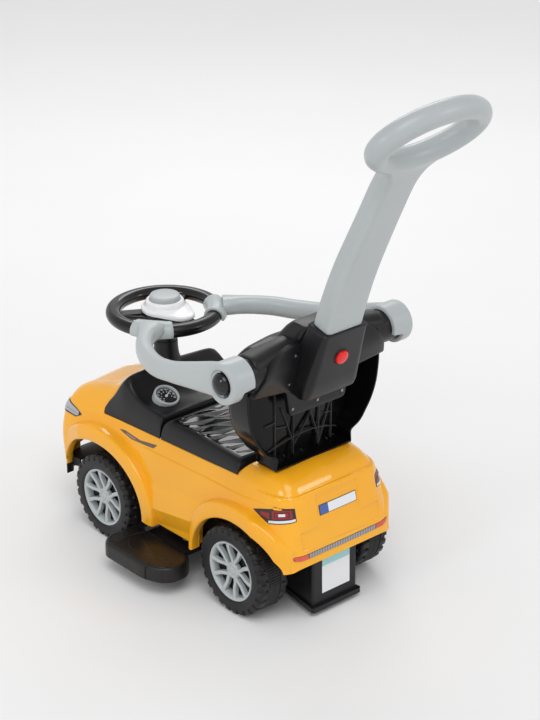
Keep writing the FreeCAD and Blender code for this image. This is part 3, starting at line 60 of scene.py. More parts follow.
def srgb(*rgb):
    """Colour as a screen shows it, 0 to 255, as the linear colour a shader takes."""
    line = [c / 255 / 12.92 if c <= 10 else ((c / 255 + 0.055) / 1.055) ** 2.4 for c in rgb]
    return (*line, 1.0)


def node_of(tree, kind, **values):
    made = tree.nodes.new(kind)
    for name, value in values.items():
        if name in made.inputs:
            made.inputs[name].default_value = value
        else:
            setattr(made, name, value)
    return made


def noise(tree, coords, scale, detail=3.0):
    made = node_of(tree, "ShaderNodeTexNoise", Scale=scale, Detail=detail)
    tree.links.new(coords, made.inputs["Vector"])
    return made.outputs["Fac"]


def span(tree, value, low, high, start=0.3, end=0.7):
    """Value stretched from start..end to low..high."""
    ends = {"From Min": start, "From Max": end, "To Min": low, "To Max": high}
    made = node_of(tree, "ShaderNodeMapRange", **ends)
    tree.links.new(value, made.inputs["Value"])
    return made.outputs["Result"]


def shade(tree, value, dark, light):
    """Colour that runs from dark to light with value."""
    made = tree.nodes.new("ShaderNodeMix")
    made.data_type = "RGBA"
    made.inputs["A"].default_value = dark
    made.inputs["B"].default_value = light
    tree.links.new(value, made.inputs["Factor"])
    return [slot for slot in made.outputs if slot.type == "RGBA"][0]


def start_material(name):
    made = bpy.data.materials.new(name)
    made.use_nodes = True
    tree = made.node_tree
    shader = tree.nodes["Principled BSDF"]
    coords = tree.nodes.new("ShaderNodeTexCoord").outputs["Object"]
    return made, tree, shader, coords


def bump(tree, shader, height, strength, distance):
    made = node_of(tree, "ShaderNodeBump", Strength=strength, Distance=distance)
    tree.links.new(height, made.inputs["Height"])
    tree.links.new(made.outputs["Normal"], shader.inputs["Normal"])


def moulded(name, dark, light, rough, grain=900, relief=0.03, shine=0.5, metal=0.0):
    """Moulded plastic: soft flow shading, uneven gloss and a fine moulding grain."""
    made, tree, shader, coords = start_material(name)
    flow = span(tree, noise(tree, coords, FLOW_SCALE, 1.0), 0, 1)
    tree.links.new(shade(tree, flow, srgb(*dark), srgb(*light)), shader.inputs["Base Color"])
    patches = noise(tree, coords, PATCH_SCALE, 2.0)
    tree.links.new(span(tree, patches, *rough), shader.inputs["Roughness"])
    bump(tree, shader, noise(tree, coords, grain, 2.0), relief, GRAIN_DEPTH)
    shader.inputs["Metallic"].default_value = metal
    shader.inputs["Specular IOR Level"].default_value = shine
    return made


def striped(name, dark, light, pitch):
    """Fine upright bars, as on a reflector strip."""
    made, tree, shader, coords = start_material(name)
    wave = node_of(tree, "ShaderNodeTexWave", Scale=pitch, Distortion=0.4)
    tree.links.new(coords, wave.inputs["Vector"])
    bars = span(tree, wave.outputs["Fac"], 0, 1)
    tree.links.new(shade(tree, bars, srgb(*dark), srgb(*light)), shader.inputs["Base Color"])
    tree.links.new(span(tree, noise(tree, coords, 60.0), 0.25, 0.4), shader.inputs["Roughness"])
    bump(tree, shader, bars, 0.15, 0.0004)
    return made


# dark and light colour and range of roughness; then grain scale, grain relief, shine and metal, where they
# differ from the usual ones
PLASTICS = {
    "seat_black": ((9, 9, 10), (14, 14, 15), (0.06, 0.12), 700, 0.02),
    "step_black": ((20, 18, 17), (27, 24, 23), (0.29, 0.38), 900, 0.06, 0.4),
    "screw_steel": ((120, 122, 126), (160, 162, 166), (0.25, 0.4), 2200, 0.08, 0.5, 1.0),
    "lamp_dark": ((38, 30, 32), (52, 42, 44), (0.2, 0.32)),
    "lamp_red": ((128, 26, 28), (164, 38, 38), (0.18, 0.28)),
    "lamp_white": ((206, 208, 214), (232, 233, 238), (0.18, 0.3)),
    "strip_red": ((214, 76, 60), (226, 90, 72), (0.25, 0.4)),
    "plate_white": ((228, 229, 232), (238, 239, 241), (0.28, 0.4)),
    "plate_blue": ((62, 92, 160), (74, 106, 176), (0.28, 0.4)),
    "label_teal": ((150, 206, 212), (166, 216, 221), (0.3, 0.42)),
    "vent_grey": ((140, 130, 124), (168, 160, 154), (0.3, 0.4)),
    "lamp_silver": ((150, 154, 160), (196, 200, 206), (0.16, 0.28)),
    "dial_black": ((18, 17, 17), (25, 24, 24), (0.3, 0.4)),
    "vent_brown": ((96, 76, 64), (116, 94, 80), (0.28, 0.4), 900, 0.04),
    "backrest_black": ((8, 8, 9), (11, 11, 12), (0.16, 0.26), 700, 0.04, 0.24),
    # ribs: black plastic painted light grey, a painted highlight along the rib edges
    "rib_painted_highlight": ((58, 58, 60), (92, 92, 95), (0.3, 0.45), 900, 0.05, 0.3),
    "yellow_gloss": ((247, 172, 30), (252, 180, 40), (0.09, 0.15), 300, 0.006),
    "black_satin": ((20, 20, 22), (27, 27, 29), (0.28, 0.42), 1500, 0.10, 0.34),
    "black_gloss": ((20, 20, 22), (28, 28, 30), (0.10, 0.2), 700, 0.03),
    "grey_gloss": ((178, 184, 185), (184, 190, 191), (0.29, 0.34), 12, 0.003),
    "white_gloss": ((238, 238, 240), (245, 245, 247), (0.18, 0.26)),
    "red_gloss": ((236, 22, 20), (242, 32, 28), (0.18, 0.26)),
    "wheel_black": ((20, 20, 22), (29, 29, 31), (0.36, 0.52), 1300, 0.12, 0.36),
    "steel": ((178, 180, 184), (208, 210, 214), (0.2, 0.36), 2200, 0.08, 0.5, 1.0),
    "board_green": ((24, 84, 48), (34, 104, 58), (0.3, 0.45), 1400, 0.1),
    "speaker_black": ((22, 22, 24), (36, 36, 38), (0.5, 0.65), 2400, 0.3),
}
LOOKS = {name: moulded(name, *row) for name, row in PLASTICS.items()}
LOOKS["strip_grey"] = striped("strip_grey", (122, 122, 128), (164, 164, 170), 55.0)


def paint(obj, look):
    obj.data.materials.clear()
    obj.data.materials.append(look)


for part in frame["record"]["subparts"]:
    paint(nodes[part["node"]], LOOKS[part["material_slot"]])


# lines

def unit(ways):
    return ways / np.maximum(np.linalg.norm(ways, axis=-1, keepdims=True), 1e-9)


def rise(value, start, end):
    """0 before start, 1 after end, smooth between."""
    t = np.clip((value - start) / (end - start), 0, 1)
    return t * t * (3 - 2 * t)


def bend(p, corner, q, steps):
    """Points of a curve from p to q that heads for the corner."""
    return [(1 - t) ** 2 * p + 2 * t * (1 - t) * corner + t * t * q for t in steps]


def blend(t, a, b, pull_a, pull_b):
    """Cubic from a to b, with the pull of its tangent at each end."""
    return ((1 + 2 * t) * (1 - t) ** 2 * a + t * (1 - t) ** 2 * pull_a
            + t * t * (3 - 2 * t) * b + t * t * (t - 1) * pull_b)


def smooth_line(xs, ys, at):
    """Monotone cubic through the points, with no overshoot between them."""
    xs, ys, at = (np.asarray(v, float) for v in (xs, ys, at))
    step = np.diff(xs)
    slope = np.diff(ys) / step
    tangent = np.zeros_like(ys)
    tangent[0], tangent[-1] = slope[0], slope[-1]
    for i in range(1, len(xs) - 1):
        if slope[i - 1] * slope[i] > 0:
            first, second = 2 * step[i] + step[i - 1], step[i] + 2 * step[i - 1]
            tangent[i] = (first + second) / (first / slope[i - 1] + second / slope[i])
    k = np.clip(np.searchsorted(xs, at) - 1, 0, len(step) - 1)
    return blend((at - xs[k]) / step[k], ys[k], ys[k + 1], step[k] * tangent[k], step[k] * tangent[k + 1])


def rows_at(rows, stations):
    """Rows of a table at stations of its first column."""
    rows = np.array(rows, float)
    return np.stack([smooth_line(rows[:, 0], column, stations) for column in rows.T], axis=1)


def lengths(points):
    """Length of a line up to each of its points."""
    return np.concatenate([[0], np.cumsum(np.linalg.norm(np.diff(points, axis=0), axis=1))])


def curve_through(points, count):
    """Smooth line of count points through the given ones, by chord length."""
    points = np.array(points, float)
    gone = lengths(points)
    at = np.linspace(0, gone[-1], count)
    tangent = np.gradient(points, gone, axis=0)
    k = np.clip(np.searchsorted(gone, at) - 1, 0, len(points) - 2)
    step = (gone[k + 1] - gone[k])[:, None]
    t = (at - gone[k])[:, None] / step
    return blend(t, points[k], points[k + 1], step * tangent[k], step * tangent[k + 1])


def spaced(start, *runs):
    """Stations from start on, through runs of (end, count of stations with both ends)."""
    line = np.array([start], float)
    for end, count in runs:
        line = np.concatenate([line, np.linspace(line[-1], end, count)[1:]])
    return line


def circle(count):
    return [(math.cos(a), math.sin(a)) for a in np.arange(count) * 2 * math.pi / count]


def ways_at(lean):
    """Ways up and back of something that leans back by an angle."""
    up = np.array((0.0, math.sin(lean), math.cos(lean)))
    return up, np.array((0.0, up[2], -up[1]))


def rounded(corners, steps=7):
    """Closed outline from (x, y, radius) corners, each rounded."""
    line = []
    for i, (x, y, radius) in enumerate(corners):
        here = np.array((x, y), float)
        before = np.array(corners[i - 1][:2], float) - here
        after = np.array(corners[(i + 1) % len(corners)][:2], float) - here
        if radius <= 0:
            line.append(here)
            continue
        back = min(radius, np.linalg.norm(before) * 0.48, np.linalg.norm(after) * 0.48)
        line += bend(here + unit(before) * back, here, here + unit(after) * back, np.linspace(0, 1, steps))
    return np.array(line)


def mirrored(half):
    """Corners of a shape that is the same on both sides, from its right half, bottom to top."""
    return list(half) + [(-x, y, r) for x, y, r in reversed(half)]


def inset(line, amount):
    """The outline moved inwards."""
    ahead, behind = np.roll(line, -1, axis=0), np.roll(line, 1, axis=0)
    run = unit(ahead - behind)
    normal = np.stack([-run[:, 1], run[:, 0]], axis=1)
    area = np.sum(line[:, 0] * ahead[:, 1] - ahead[:, 0] * line[:, 1])
    return line + normal * amount * (1 if area > 0 else -1)


# meshes, each a list of points and a list of faces

def grid_faces(rows, columns, ring=False, loop=False):
    """Quads of a grid of points held row by row; ring closes the columns, and loop the rows."""
    return [(r * columns + c, r * columns + (c + 1) % columns,
             (r + 1) % rows * columns + (c + 1) % columns, (r + 1) % rows * columns + c)
            for r in range(rows if loop else rows - 1) for c in range(columns if ring else columns - 1)]


def loft(rings):
    """Skin over rings of equal count, with a cap at each end."""
    count = len(rings[0])
    last = (len(rings) - 1) * count
    caps = [list(range(count))[::-1], list(range(last, last + count))]
    return [tuple(p) for ring in rings for p in ring], grid_faces(len(rings), count, ring=True) + caps


def hoop(rings):
    """Skin over rings that follow each other round, with no end."""
    faces = grid_faces(len(rings), len(rings[0]), ring=True, loop=True)
    return [tuple(p) for ring in rings for p in ring], faces


def merge(*meshes):
    """One mesh from several."""
    points, faces = [], []
    for some, quads in meshes:
        first = len(points)
        points += list(some)
        faces += [[first + v for v in f] for f in quads]
    return points, faces


def slab(line, low, high, edge, lift):
    """Plate between two levels with rounded rims; lift turns (u, v, level) into a point."""
    steps = [(edge, 0.0), (edge * 0.3, edge * 0.3), (0.0, edge)]
    levels = [(inset(line, a), low + b) for a, b in steps]
    levels += [(inset(line, a), high - b) for a, b in reversed(steps)]
    return loft([[lift(u, v, level) for u, v in shape] for shape, level in levels])


def box_line(start, end, low, high, radius, steps):
    """Outline of a rounded rectangle."""
    corners = ((start, low), (start, high), (end, high), (end, low))
    return rounded([(u, v, radius) for u, v in corners], steps)


def box_ring(half_x, low, high, radius, lift, steps=6):
    """Ring of a rounded rectangle, as wide on both sides; lift turns (u, v) into a point."""
    return [lift(u, v) for u, v in box_line(half_x, -half_x, low, high, radius, steps)]


def turned(place, profile, count):
    """Rings of (radius, height) about a line; place turns (u, v, height) into a point."""
    return loft([[place(r * c, r * s, h) for c, s in circle(count)] for r, h in profile])


def turned_about(middle, way, profile, count=40):
    """Rings of (radius, height) about a line through a point."""
    across = unit(np.cross(way, (1.0, 0, 0)))
    other = np.cross(way, across)
    return turned(lambda u, v, h: middle + way * h + across * u + other * v, profile, count)


def both_sides(half, stations):
    """Grid of points across the car from half sections of (x, z) at stations along it."""
    left = np.stack([half[:, :, 0], np.repeat(stations[:, None], half.shape[1], 1), half[:, :, 1]], axis=2)
    return np.concatenate([left, left[:, -2::-1] * (-1, 1, 1)], axis=1)


def piece(name, mesh, look, body="car", sharp=38, slot=None):
    """New piece from a mesh in millimetres; it rides on a body of the frame."""
    points, faces = mesh
    made = bpy.data.meshes.new(name)
    made.from_pydata([tuple(c * MM for c in p) for p in points], [], [tuple(f) for f in faces])
    tidy = bmesh.new()
    tidy.from_mesh(made)
    bmesh.ops.remove_doubles(tidy, verts=tidy.verts, dist=1e-6)
    bmesh.ops.dissolve_degenerate(tidy, edges=tidy.edges, dist=1e-7)
    bmesh.ops.recalc_face_normals(tidy, faces=tidy.faces)
    tidy.to_mesh(made)
    tidy.free()
    made.shade_smooth()
    made.set_sharp_from_angle(angle=math.radians(sharp))
    obj = bpy.data.objects.new(name, made)
    scene.collection.objects.link(obj)
    paint(obj, LOOKS[look])
    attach(obj, body)
    slot or look
    return obj


def stand_in(node, mesh, look, sharp=38, slot=None, name=None, side=1):
    """Piece that is shown in place of a node and rides on its body; side -1 mirrors it."""
    mesh = np.array(mesh[0]) * (side, 1, 1), mesh[1]
    obj = piece(name or f"{node}_look", mesh, look, BODY_OF[node], sharp, slot)
    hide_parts(node)
    return obj


def thicken(obj, wall):
    made = obj.modifiers.new("solidify", "SOLIDIFY")
    made.thickness = wall * MM
    made.offset = -1.0


# body skin

FRONT_Y, REAR_Y, NOSE_Y, TAIL_Y, AXLE_Z = -259.5, 86.5, -419.7, 202.5, 78.0
BELT, BELT_SLOPE, SEAT_MID = 234.5, 0.0445, -31.2
DASH_Y, DASH_RUN, SEAT_BACK, HOOD = -290.5, 52.0, 66.5, 306.0
BODY_WALL, CONSOLE_WALL = 3.0, 2.5
# the arches are cut outside ARCH_INNER; ARCH_SCALE turns a share of an arch into a length
ARCH_INNER, ARCH_SCALE, BACK_LEAN = 60.0, 100.0, 0.75
# middle along the car, half length and height of each wheel arch
ARCHES = ((FRONT_Y - 12, 121.0, 100.0), (REAR_Y + 4, 106.0, 92.0))
# y, bottom, sill x, flank x z, belt x z, edge x z, crown
SKIN = (
    (-419.7, 112, 50, 66, 146, 60, 166, 38, 174, 178),
    (-416.5, 105, 80, 90, 148, 84, 178, 56, 190, 196),
    (-407.5, 99, 108, 116, 152, 106, 196, 74, 215, 222),
    (-385.5, 97, 126, 130, 160, 117, 209, 90, 235, 244),
    (-340.5, 84, 128, 132, 164, 116, 217, 93, 250, 265),
    (-290.5, 75, 128, 133, 165, 114, 223, 92, 266, 284),
    (-238.5, 75, 129, 131, 165, 112, 226, 84, 298, 306),
    (-129.5, 75, 129, 127, 165, 112, 231, 96, 260, 268),
    (16.5, 75, 129, 127, 165, 112, 237, 96, 258, 266),
    (80.5, 75, 130, 131, 165, 112, 239, 96, 257, 262),
    (138.5, 97, 129, 128, 160, 107, 231, 87, 255, 259),
    (164.5, 102, 127, 125, 160, 104, 222, 85, 246, 250),
    (179.5, 105, 125, 120, 158, 98, 206, 83, 228, 232),
    (192.5, 108, 118, 110, 148, 90, 180, 78, 194, 198),
    (199.5, 109, 106, 101, 136, 88, 152, 74, 157, 159),
    (202.5, 112, 96, 94, 126, 86, 138, 70, 142, 143),
)


def belt_at(y):
    return BELT + (y - SEAT_MID) * BELT_SLOPE


def half_section(row):
    """Half of a cross-section from its bottom edge to the middle, with rounded corners."""
    corners = [np.array(c) for c in ((row[2], row[1]), row[3:5], row[5:7], row[7:9], (0.0, row[9]))]
    radii = (0, 26, 8, 14, 0)
    runs = (44, 30, 10, 36)
    points = []
    for k in range(4):
        a, b = corners[k], corners[k + 1]
        length = np.linalg.norm(b - a)
        start = min(radii[k], length * 0.45) / length
        end = 1 - min(radii[k + 1], length * 0.45) / length
        points += [a + (b - a) * t for t in np.linspace(start, end, runs[k])]
        if k < 3:
            c = corners[k + 2]
            gone = np.linalg.norm(c - b)
            q = b + (c - b) * min(radii[k + 1], gone * 0.45) / gone
            points += bend(points[-1], b, q, np.linspace(0, 1, 7)[1:-1])
    return np.array(points)


def cut_depth(p):
    """How far a point of the skin is outside the wheel arches and the cockpit; negative is cut away."""
    x, y, z = p
    far = math.inf
    if abs(x) > ARCH_INNER:
        for middle, across, up in ARCHES:
            far = min(far, (math.hypot((y - middle) / across, (z - AXLE_Z) / up) - 1) * ARCH_SCALE)
    lean = (HOOD - belt_at(DASH_Y)) / DASH_RUN
    cockpit = max(belt_at(y) - z, DASH_Y + (z - belt_at(DASH_Y)) / lean - y,
                  y - SEAT_BACK - max(0.0, z - belt_at(SEAT_BACK)) * BACK_LEAN)
    return min(far, cockpit)


def skin_relief(p):
    """Outward steps of the skin: rocker panel, door field, tailgate field and bonnet field."""
    x, y, z = p.T
    wide = np.abs(x)
    side = rise(wide, 96, 110)
    between = rise(y, -176, -168) * (1 - rise(y, -14, -6))
    upper, lower = 142.2 + 0.115 * (y + 130), 107 + 0.148 * (y + 128)
    ledge, slope = 1 - rise(z, upper - 0.3, upper + 1.3), np.clip((upper - z) / (upper - lower), 0, 1)
    rocker = side * between * (2.2 * ledge + 5.4 * slope - 0.34 * np.clip(lower - z, 0, 30))
    crease = 204 + 0.032 * (y + 142)
    below = (1 - rise(z, crease - 0.4, crease + 1.6)) * rise(z, crease - 46, crease - 6)
    door = 2.2 * side * rise(y, -190, -150) * below
    tail = rise(y, 168, 172)
    plate = -2.8 * tail * (1 - rise(wide, 45, 46.6)) * rise(z, 171, 172.6) * (1 - rise(z, 219, 226))
    panel = -2.2 * tail * (1 - rise(wide, 85, 86.6)) * rise(z, 141.5, 143) * (1 - rise(z, 171, 172.6))
    edge = 231.5 - 0.02 * wide
    lip = 3.2 * rise(y, 96, 140) * rise(z, 200, 226) * (1 - rise(z, edge - 0.8, edge + 1.6))
    bonnet = -1.2 * rise(-y, 300, 304) * (1 - rise(-y, 392, 396)) * (1 - rise(wide, 66, 69))
    return rocker + door + plate + panel + lip + bonnet * rise(z, 200, 205)


def body_skin():
    stations = spaced(NOSE_Y, (-384, 26), (138, 170), (176, 26), (TAIL_Y, 64))
    grid = both_sides(np.stack([half_section(row) for row in rows_at(SKIN, stations)]), stations)
    rows, columns = grid.shape[:2]
    normal = unit(np.cross(np.gradient(grid, axis=1), np.gradient(grid, axis=0)))
    if normal[rows // 2, columns // 2, 2] < 0:
        normal *= -1
    flat = grid.reshape(-1, 3)
    flat = flat + normal.reshape(-1, 3) * skin_relief(flat)[:, None]
    depth = np.array([cut_depth(p) for p in flat])
    faces = [f for f in grid_faces(rows, columns) if max(depth[list(f)]) > 0]
    # points just inside a cut move to its edge, along the shortest way to a point outside
    moved = flat.copy()
    for v in {v for f in faces for v in f if depth[v] < 0}:
        row, column = divmod(v, columns)
        ways = []
        for r in range(max(row - 1, 0), min(row + 2, rows)):
            for c in range(max(column - 1, 0), min(column + 2, columns)):
                n = r * columns + c
                if depth[n] > 0:
                    ways.append((flat[n] - flat[v]) * (depth[v] / (depth[v] - depth[n])))
        moved[v] = flat[v] + min(ways, key=np.linalg.norm)
    faces += [list(range(columns))[::-1], [(rows - 1) * columns + c for c in range(columns)]]
    kept = sorted({v for f in faces for v in f})
    index = {v: i for i, v in enumerate(kept)}
    mesh = moved[kept], [[index[v] for v in f] for f in faces]
    obj = stand_in("body_shell", mesh, "yellow_gloss", 40, name="body_skin")
    thicken(obj, BODY_WALL)
    return obj


skin = body_skin()


# wheel arch flares

# places along the car, and how far out the flares stand there
FLARE_PLAN = ((-411.5, -387.5, -325.5, 134.5, 178.5, 196.5, 203.0), (108, 126, 142, 142, 130, 112, 100))
FLARE_ENDS = (-412.0, 198.0)
# away from the arch's edge, and out from the plan
FLARE_PROFILE = ((0.0, -15.0), (-0.5, -8.0), (-0.5, -1.8), (0.3, -0.5), (2.0, 0.0), (8.0, 0.3), (15.0, 0.1),
                 (21.0, -0.7), (24.4, -1.7), (26.0, -3.2), (26.8, -6.0), (27.4, -13.0), (28.4, -22.0),
                 (29.6, -32.0), (24.0, -32.0), (20.0, -15.0), (8.0, -15.5))


def flare(name, middle, across, up, side, first, last, foot, look="yellow_gloss"):
    """Raised lip round a wheel arch, swept along the arch's edge; it slims to foot at its low end."""
    rings = []
    for angle in np.linspace(math.radians(first), math.radians(last), 72):
        c, s = math.cos(angle), math.sin(angle)
        edge = np.array((middle + across * c, AXLE_Z + up * s))
        out = unit(np.array((c / across, s / up)))
        slim = 1 - (1 - foot) * rise(math.degrees(angle), 128, 176)
        ring = []
        for away, depth in FLARE_PROFILE:
            y, z = edge + out * away * slim
            y = min(max(y, FLARE_ENDS[0]), FLARE_ENDS[1])
            ring.append((side * (np.interp(y, *FLARE_PLAN) + depth), y, z))
        rings.append(ring)
    piece(name, loft(rings), look, sharp=50)


for side, word in SIDES:
    flare(f"front_{word}_flare", *ARCHES[0], side, -2, 175, 0.9)
    flare(f"front_{word}_lip_corner", *ARCHES[0], side, 174.4, 186, 0.9, "black_satin")
    flare(f"rear_{word}_flare", *ARCHES[1], side, 19, 182, 0.36)


# wheels

TREAD_BLOCKS, PER_BLOCK, WHEEL_X = 26, 16, 113.4
SPOKE_PAIRS, FIRST_PAIR, SPOKE_START, SPOKE_LENGTH, BOLT_CIRCLE = 5, 82, 12.0, 36.5, 11.0


def tyre_mesh():
    """Closed ring of a wheel: hub, web and a tread with shoulder blocks and a ribbed middle band."""
    # axial place, radius, depth of a slot there along the axis and along the radius, depth of the ribs
    loop = [(-31, 58, 0, 0, 0), (-31, 63, 0, 0, 0), (-31, 68, 0, 0, 0), (-31, 69, 2, 0, 0),
            (-30.6, 73, 2.4, 0.6, 0), (-29, 76, 1.6, 2.2, 0), (-26.5, 77.7, 0, 3.2, 0), (-23, 78, 0, 3.4, 0),
            (-19, 78, 0, 3.4, 0), (-15.5, 78, 0, 3.4, 0), (-14.6, 78, 0, 0.4, 0), (-13.4, 77.8, 0, 0, 0),
            (-12.8, 76.4, 0, 0, 0), (-12, 76.4, 0, 0, 0), (-11.4, 77.6, 0, 0, 1.3), (-6, 77.8, 0, 0, 1.3),
            (-1.2, 77.8, 0, 0, 1.3), (-0.8, 76.8, 0, 0, 0)]
    loop += [(-x, *rest) for x, *rest in reversed(loop)]
    inside = ((30.4, 54.4), (29, 53), (15, 52.8), (15, 40), (15, 5.1), (-31, 5.1), (-31, 14), (11, 14),
              (11, 56.7), (27, 56.7), (27, 66.5), (23, 70.5), (-23, 70.5), (-27, 66.5), (-27, 58))
    loop += [(x, radius, 0, 0, 0) for x, radius in inside]
    rings = []
    for k, (c, s) in enumerate(circle(TREAD_BLOCKS * PER_BLOCK)):
        ring = []
        for x, radius, along_axis, inward, rib in loop:
            shift = 0.5 if x < 0 else 0.0
            skew = 0.10 * math.sin((abs(x) - 14) * 0.22)
            part = (k / PER_BLOCK + shift + skew) % 1.0
            half = 0.13 + 0.05 * rise(abs(x), 15, 29)
            slot = 1 - rise(abs(part - 0.5), half, half + 0.07)
            r = radius - inward * slot - rib * (k // 2 % 2)
            ring.append((x - math.copysign(along_axis * slot, x), r * c, r * s))
        rings.append(ring)
    return hoop(rings)


def hub_mesh():
    """Ten-spoke wheel cap: five pairs of spokes between a dished rim and a bolted centre."""
    def ring(profile, count):
        return hoop([[(x, r * c, r * s) for x, r in profile] for c, s in circle(count)])

    def spoke(path, widths):
        """Bar with a crowned face, swept along points of (axial place, y, z)."""
        shape = ((-1.0, -8.0), (-1.0, -0.9), (-0.7, -0.2), (0.0, 0.0), (0.7, -0.2), (1.0, -0.9), (1.0, -8.0))
        rings = []
        for i, ((x, y, z), half) in enumerate(zip(path, widths)):
            ahead, behind = path[min(i + 1, len(path) - 1)], path[max(i - 1, 0)]
            run = Vector((0, ahead[1] - behind[1], ahead[2] - behind[2])).normalized()
            rings.append([(x + lift, y - run.z * half * part, z + run.y * half * part)
                          for part, lift in shape])
        return loft(rings)

    rim = ((15.3, 52.4), (29.2, 52.4), (30.0, 51.8), (30.0, 50.2), (29.2, 49.0), (27.4, 47.6), (24.0, 46.6),
           (15.3, 46.6))
    centre = ((17.0, 0.6), (17.0, 14.8), (24.0, 14.6), (25.4, 13.6), (26.0, 12.2), (26.0, 9.6), (25.3, 8.8),
              (25.3, 6.4), (26.2, 5.6), (26.6, 3.0), (26.7, 0.6))
    meshes = [ring(rim, 80), ring(centre, 60)]
    for k in range(SPOKE_PAIRS):
        middle = math.radians(FIRST_PAIR + 360 / SPOKE_PAIRS * k)
        for side in (1, -1):
            path, widths = [], []
            for t in np.linspace(0, 1, 18):
                radius = SPOKE_START + SPOKE_LENGTH * t
                angle = middle + math.radians(4 + 14.5 * rise(t, -0.1, 0.6)) * side
                bow = 25.8 + 3.2 * rise(t, 0.15, 1.0)
                path.append((bow, radius * math.cos(angle), radius * math.sin(angle)))
                widths.append(3.2 - 0.4 * math.sin(math.pi * t) + 0.5 * t)
            meshes.append(spoke(path, widths))
        bolt = middle + math.pi / SPOKE_PAIRS
        y, z = BOLT_CIRCLE * math.cos(bolt), BOLT_CIRCLE * math.sin(bolt)
        meshes.append(turned(lambda u, v, h: (h, y + u, z + v), ((1.7, 24.6), (1.7, 26.8), (1.2, 27.2)), 8))
    return merge(*meshes)


def wheels():
    kinds = (("tyre", tyre_mesh(), "wheel_black"), ("hub_cap", hub_mesh(), "grey_gloss"))
    for end, wheel_y in (("front", FRONT_Y), ("rear", REAR_Y)):
        for side, word in SIDES:
            for kind, (points, faces), look in kinds:
                placed = np.array(points) * (side, side, 1) + (side * WHEEL_X, wheel_y, AXLE_Z)
                stand_in(f"{end}_{word}_{kind}", (placed, faces), look, 40)


wheels()


# rear cover, with the socket that holds the handle

MOUTH = np.array((0.0, 184.4, 512.0))
LEAN = math.radians(16)
UP, BACK = ways_at(LEAN)
COVER_FRONT, SOCKET_BACK, BUTTON_DROP = 131.8, 23.0, -50.0


def leaning(u):
    """Points of a level across the socket, u along the handle from its mouth."""
    return lambda x, v: tuple(MOUTH + UP * u + BACK * v + np.array((x, 0.0, 0.0)))


def cover_back(x, z):
    """Rear face of the cover plate: it leans back to lie over the arm pivots."""
    return 140.2 + (14 + 6 * rise(abs(x), 70, 125)) * rise(z, 384, 455)


def rear_cover():
    corners = [(60, 352, 9), (65, 382, 6), (69, 399, 6), (142.4, 409, 4), (136, 427, 12), (125.5, 446, 14),
               (111, 463, 14), (91, 475.6, 16), (64, 482, 12), (42, 482, 2)]
    outline = rounded(mirrored(corners), 9)
    middle = np.array((0.0, 432.0))

    def ring(amount, drop, share=1.0):
        shape = middle + (inset(outline, amount) - middle) * share
        return [(u, cover_back(u, v) - drop, v) for u, v in shape]

    rings = [[(u, COVER_FRONT, v) for u, v in outline], ring(0, 1.6), ring(0.5, 0.5), ring(1.6, 0)]
    plate = loft(rings + [ring(1.6, 0, share) for share in (0.92, 0.8, 0.6, 0.4, 0.2, 0.03)])
    # along the handle, half width, front, rear, corner radius; the last three go down into the mouth
    socket = loft([box_ring(half, front, rear, radius, leaning(u), 9) for u, half, front, rear, radius in (
        (-131, 48, -18, 4, 8), (-129, 54, -26, 13, 11), (-124, 57, -30, 20, 13), (-112, 57, -36, 22.8, 14),
        (-90, 55, -40, 23, 14), (-50, 51, -32, 23, 13), (-6, 47, -23, 23, 10), (-1.6, 46.4, -23, 23, 9),
        (0, 44.8, -21.6, 21.6, 8), (0, 38.6, -19.4, 19.4, 9), (-1.6, 38.6, -19.4, 19.4, 9),
        (-12, 38.6, -19.4, 19.4, 9))])
    hump = loft([box_ring(half, low, high, 12, lambda x, y, z=z: (x, y, z)) for half, low, high, z in (
        (60, 110, 140, 452), (59.5, 109, 142, 464), (58.5, 98, 144, 472), (55.5, 103, 151, 486),
        (52, 115, 159, 501), (49.4, 124, 165, 509), (48.0, 127.6, 166, 511.2), (46.0, 130, 166, 511.8))])
    stand_in("backrest_rear_cover", merge(plate, socket), "black_satin", name="rear_cover_look")
    piece("handle_hump", hump, "black_satin")
    cups, heads = [], []
    for x, z in ((54, 364), (0, 364), (-54, 364), (66, 414), (-66, 414), (60, 464), (-60, 464)):
        def on_plate(u, v, h):
            return x + u, cover_back(x, z) + h, z + v
        cups.append(turned(on_plate, ((4.6, -1), (4.6, 0.3), (4.0, 0.7), (3.4, 0.6), (2.9, -0.4)), 28))
        heads.append(turned(on_plate, ((2.8, -1.0), (2.7, 0.1), (1.6, 0.7), (0.3, 0.8)), 28))
    stand_in("cover_screws", merge(*heads), "screw_steel", slot="steel", name="cover_screw_heads")
    piece("cover_screw_cups", merge(*cups), "black_gloss")

    def on_socket(u, v, h):
        return np.array(leaning(BUTTON_DROP)(u, SOCKET_BACK + h)) + UP * v
    dome = ((12.2, -1), (12.2, 2.6), (11.9, 3.7), (11.2, 4.6), (9.6, 5.4), (7, 5.9), (3.6, 6.2), (0.3, 6.3))
    stand_in("release_button", turned(on_socket, dome, 28), "red_gloss", 50)
    collar = ((12.8, -1), (12.8, 0.2), (13.4, 0.9), (14.4, 0.9), (15.0, 0.2), (15.0, -1))
    piece("release_button_ring", turned(on_socket, collar, 28), "black_satin", sharp=50)


# backrest: an open-backed shell with thin ribs, and the shoulders that carry the arm pivots

BACK_FRONT, BACK_REAR, SCOOP, SCOOP_HALF, BACK_WALL = 81.5, 133.5, 23.4, 129.0, 4.0
PIVOT = np.array((0.0, 126.9, 446.0))
# place across the car, then front, rear, low, high and corner radius of the shoulder there
SHOULDER = ((40, 109, 145, 416, 489, 17), (60, 107, 146, 416, 487, 18), (80, 103, 147, 416, 484, 20),
            (100, 98, 149, 415.4, 481, 24), (118, 95, 151.6, 415, 478.6, 28),
            (132, 96, 153, 415.2, 477.2, 28), (137.6, 96.2, 153, 415.6, 476.6, 28),
            (139.8, 97.4, 152, 416.6, 475.4, 27), (140.4, 99.4, 150, 418.6, 473.4, 25))
TRUNNION = ((28, 120), (28, 176.2), (27, 177))


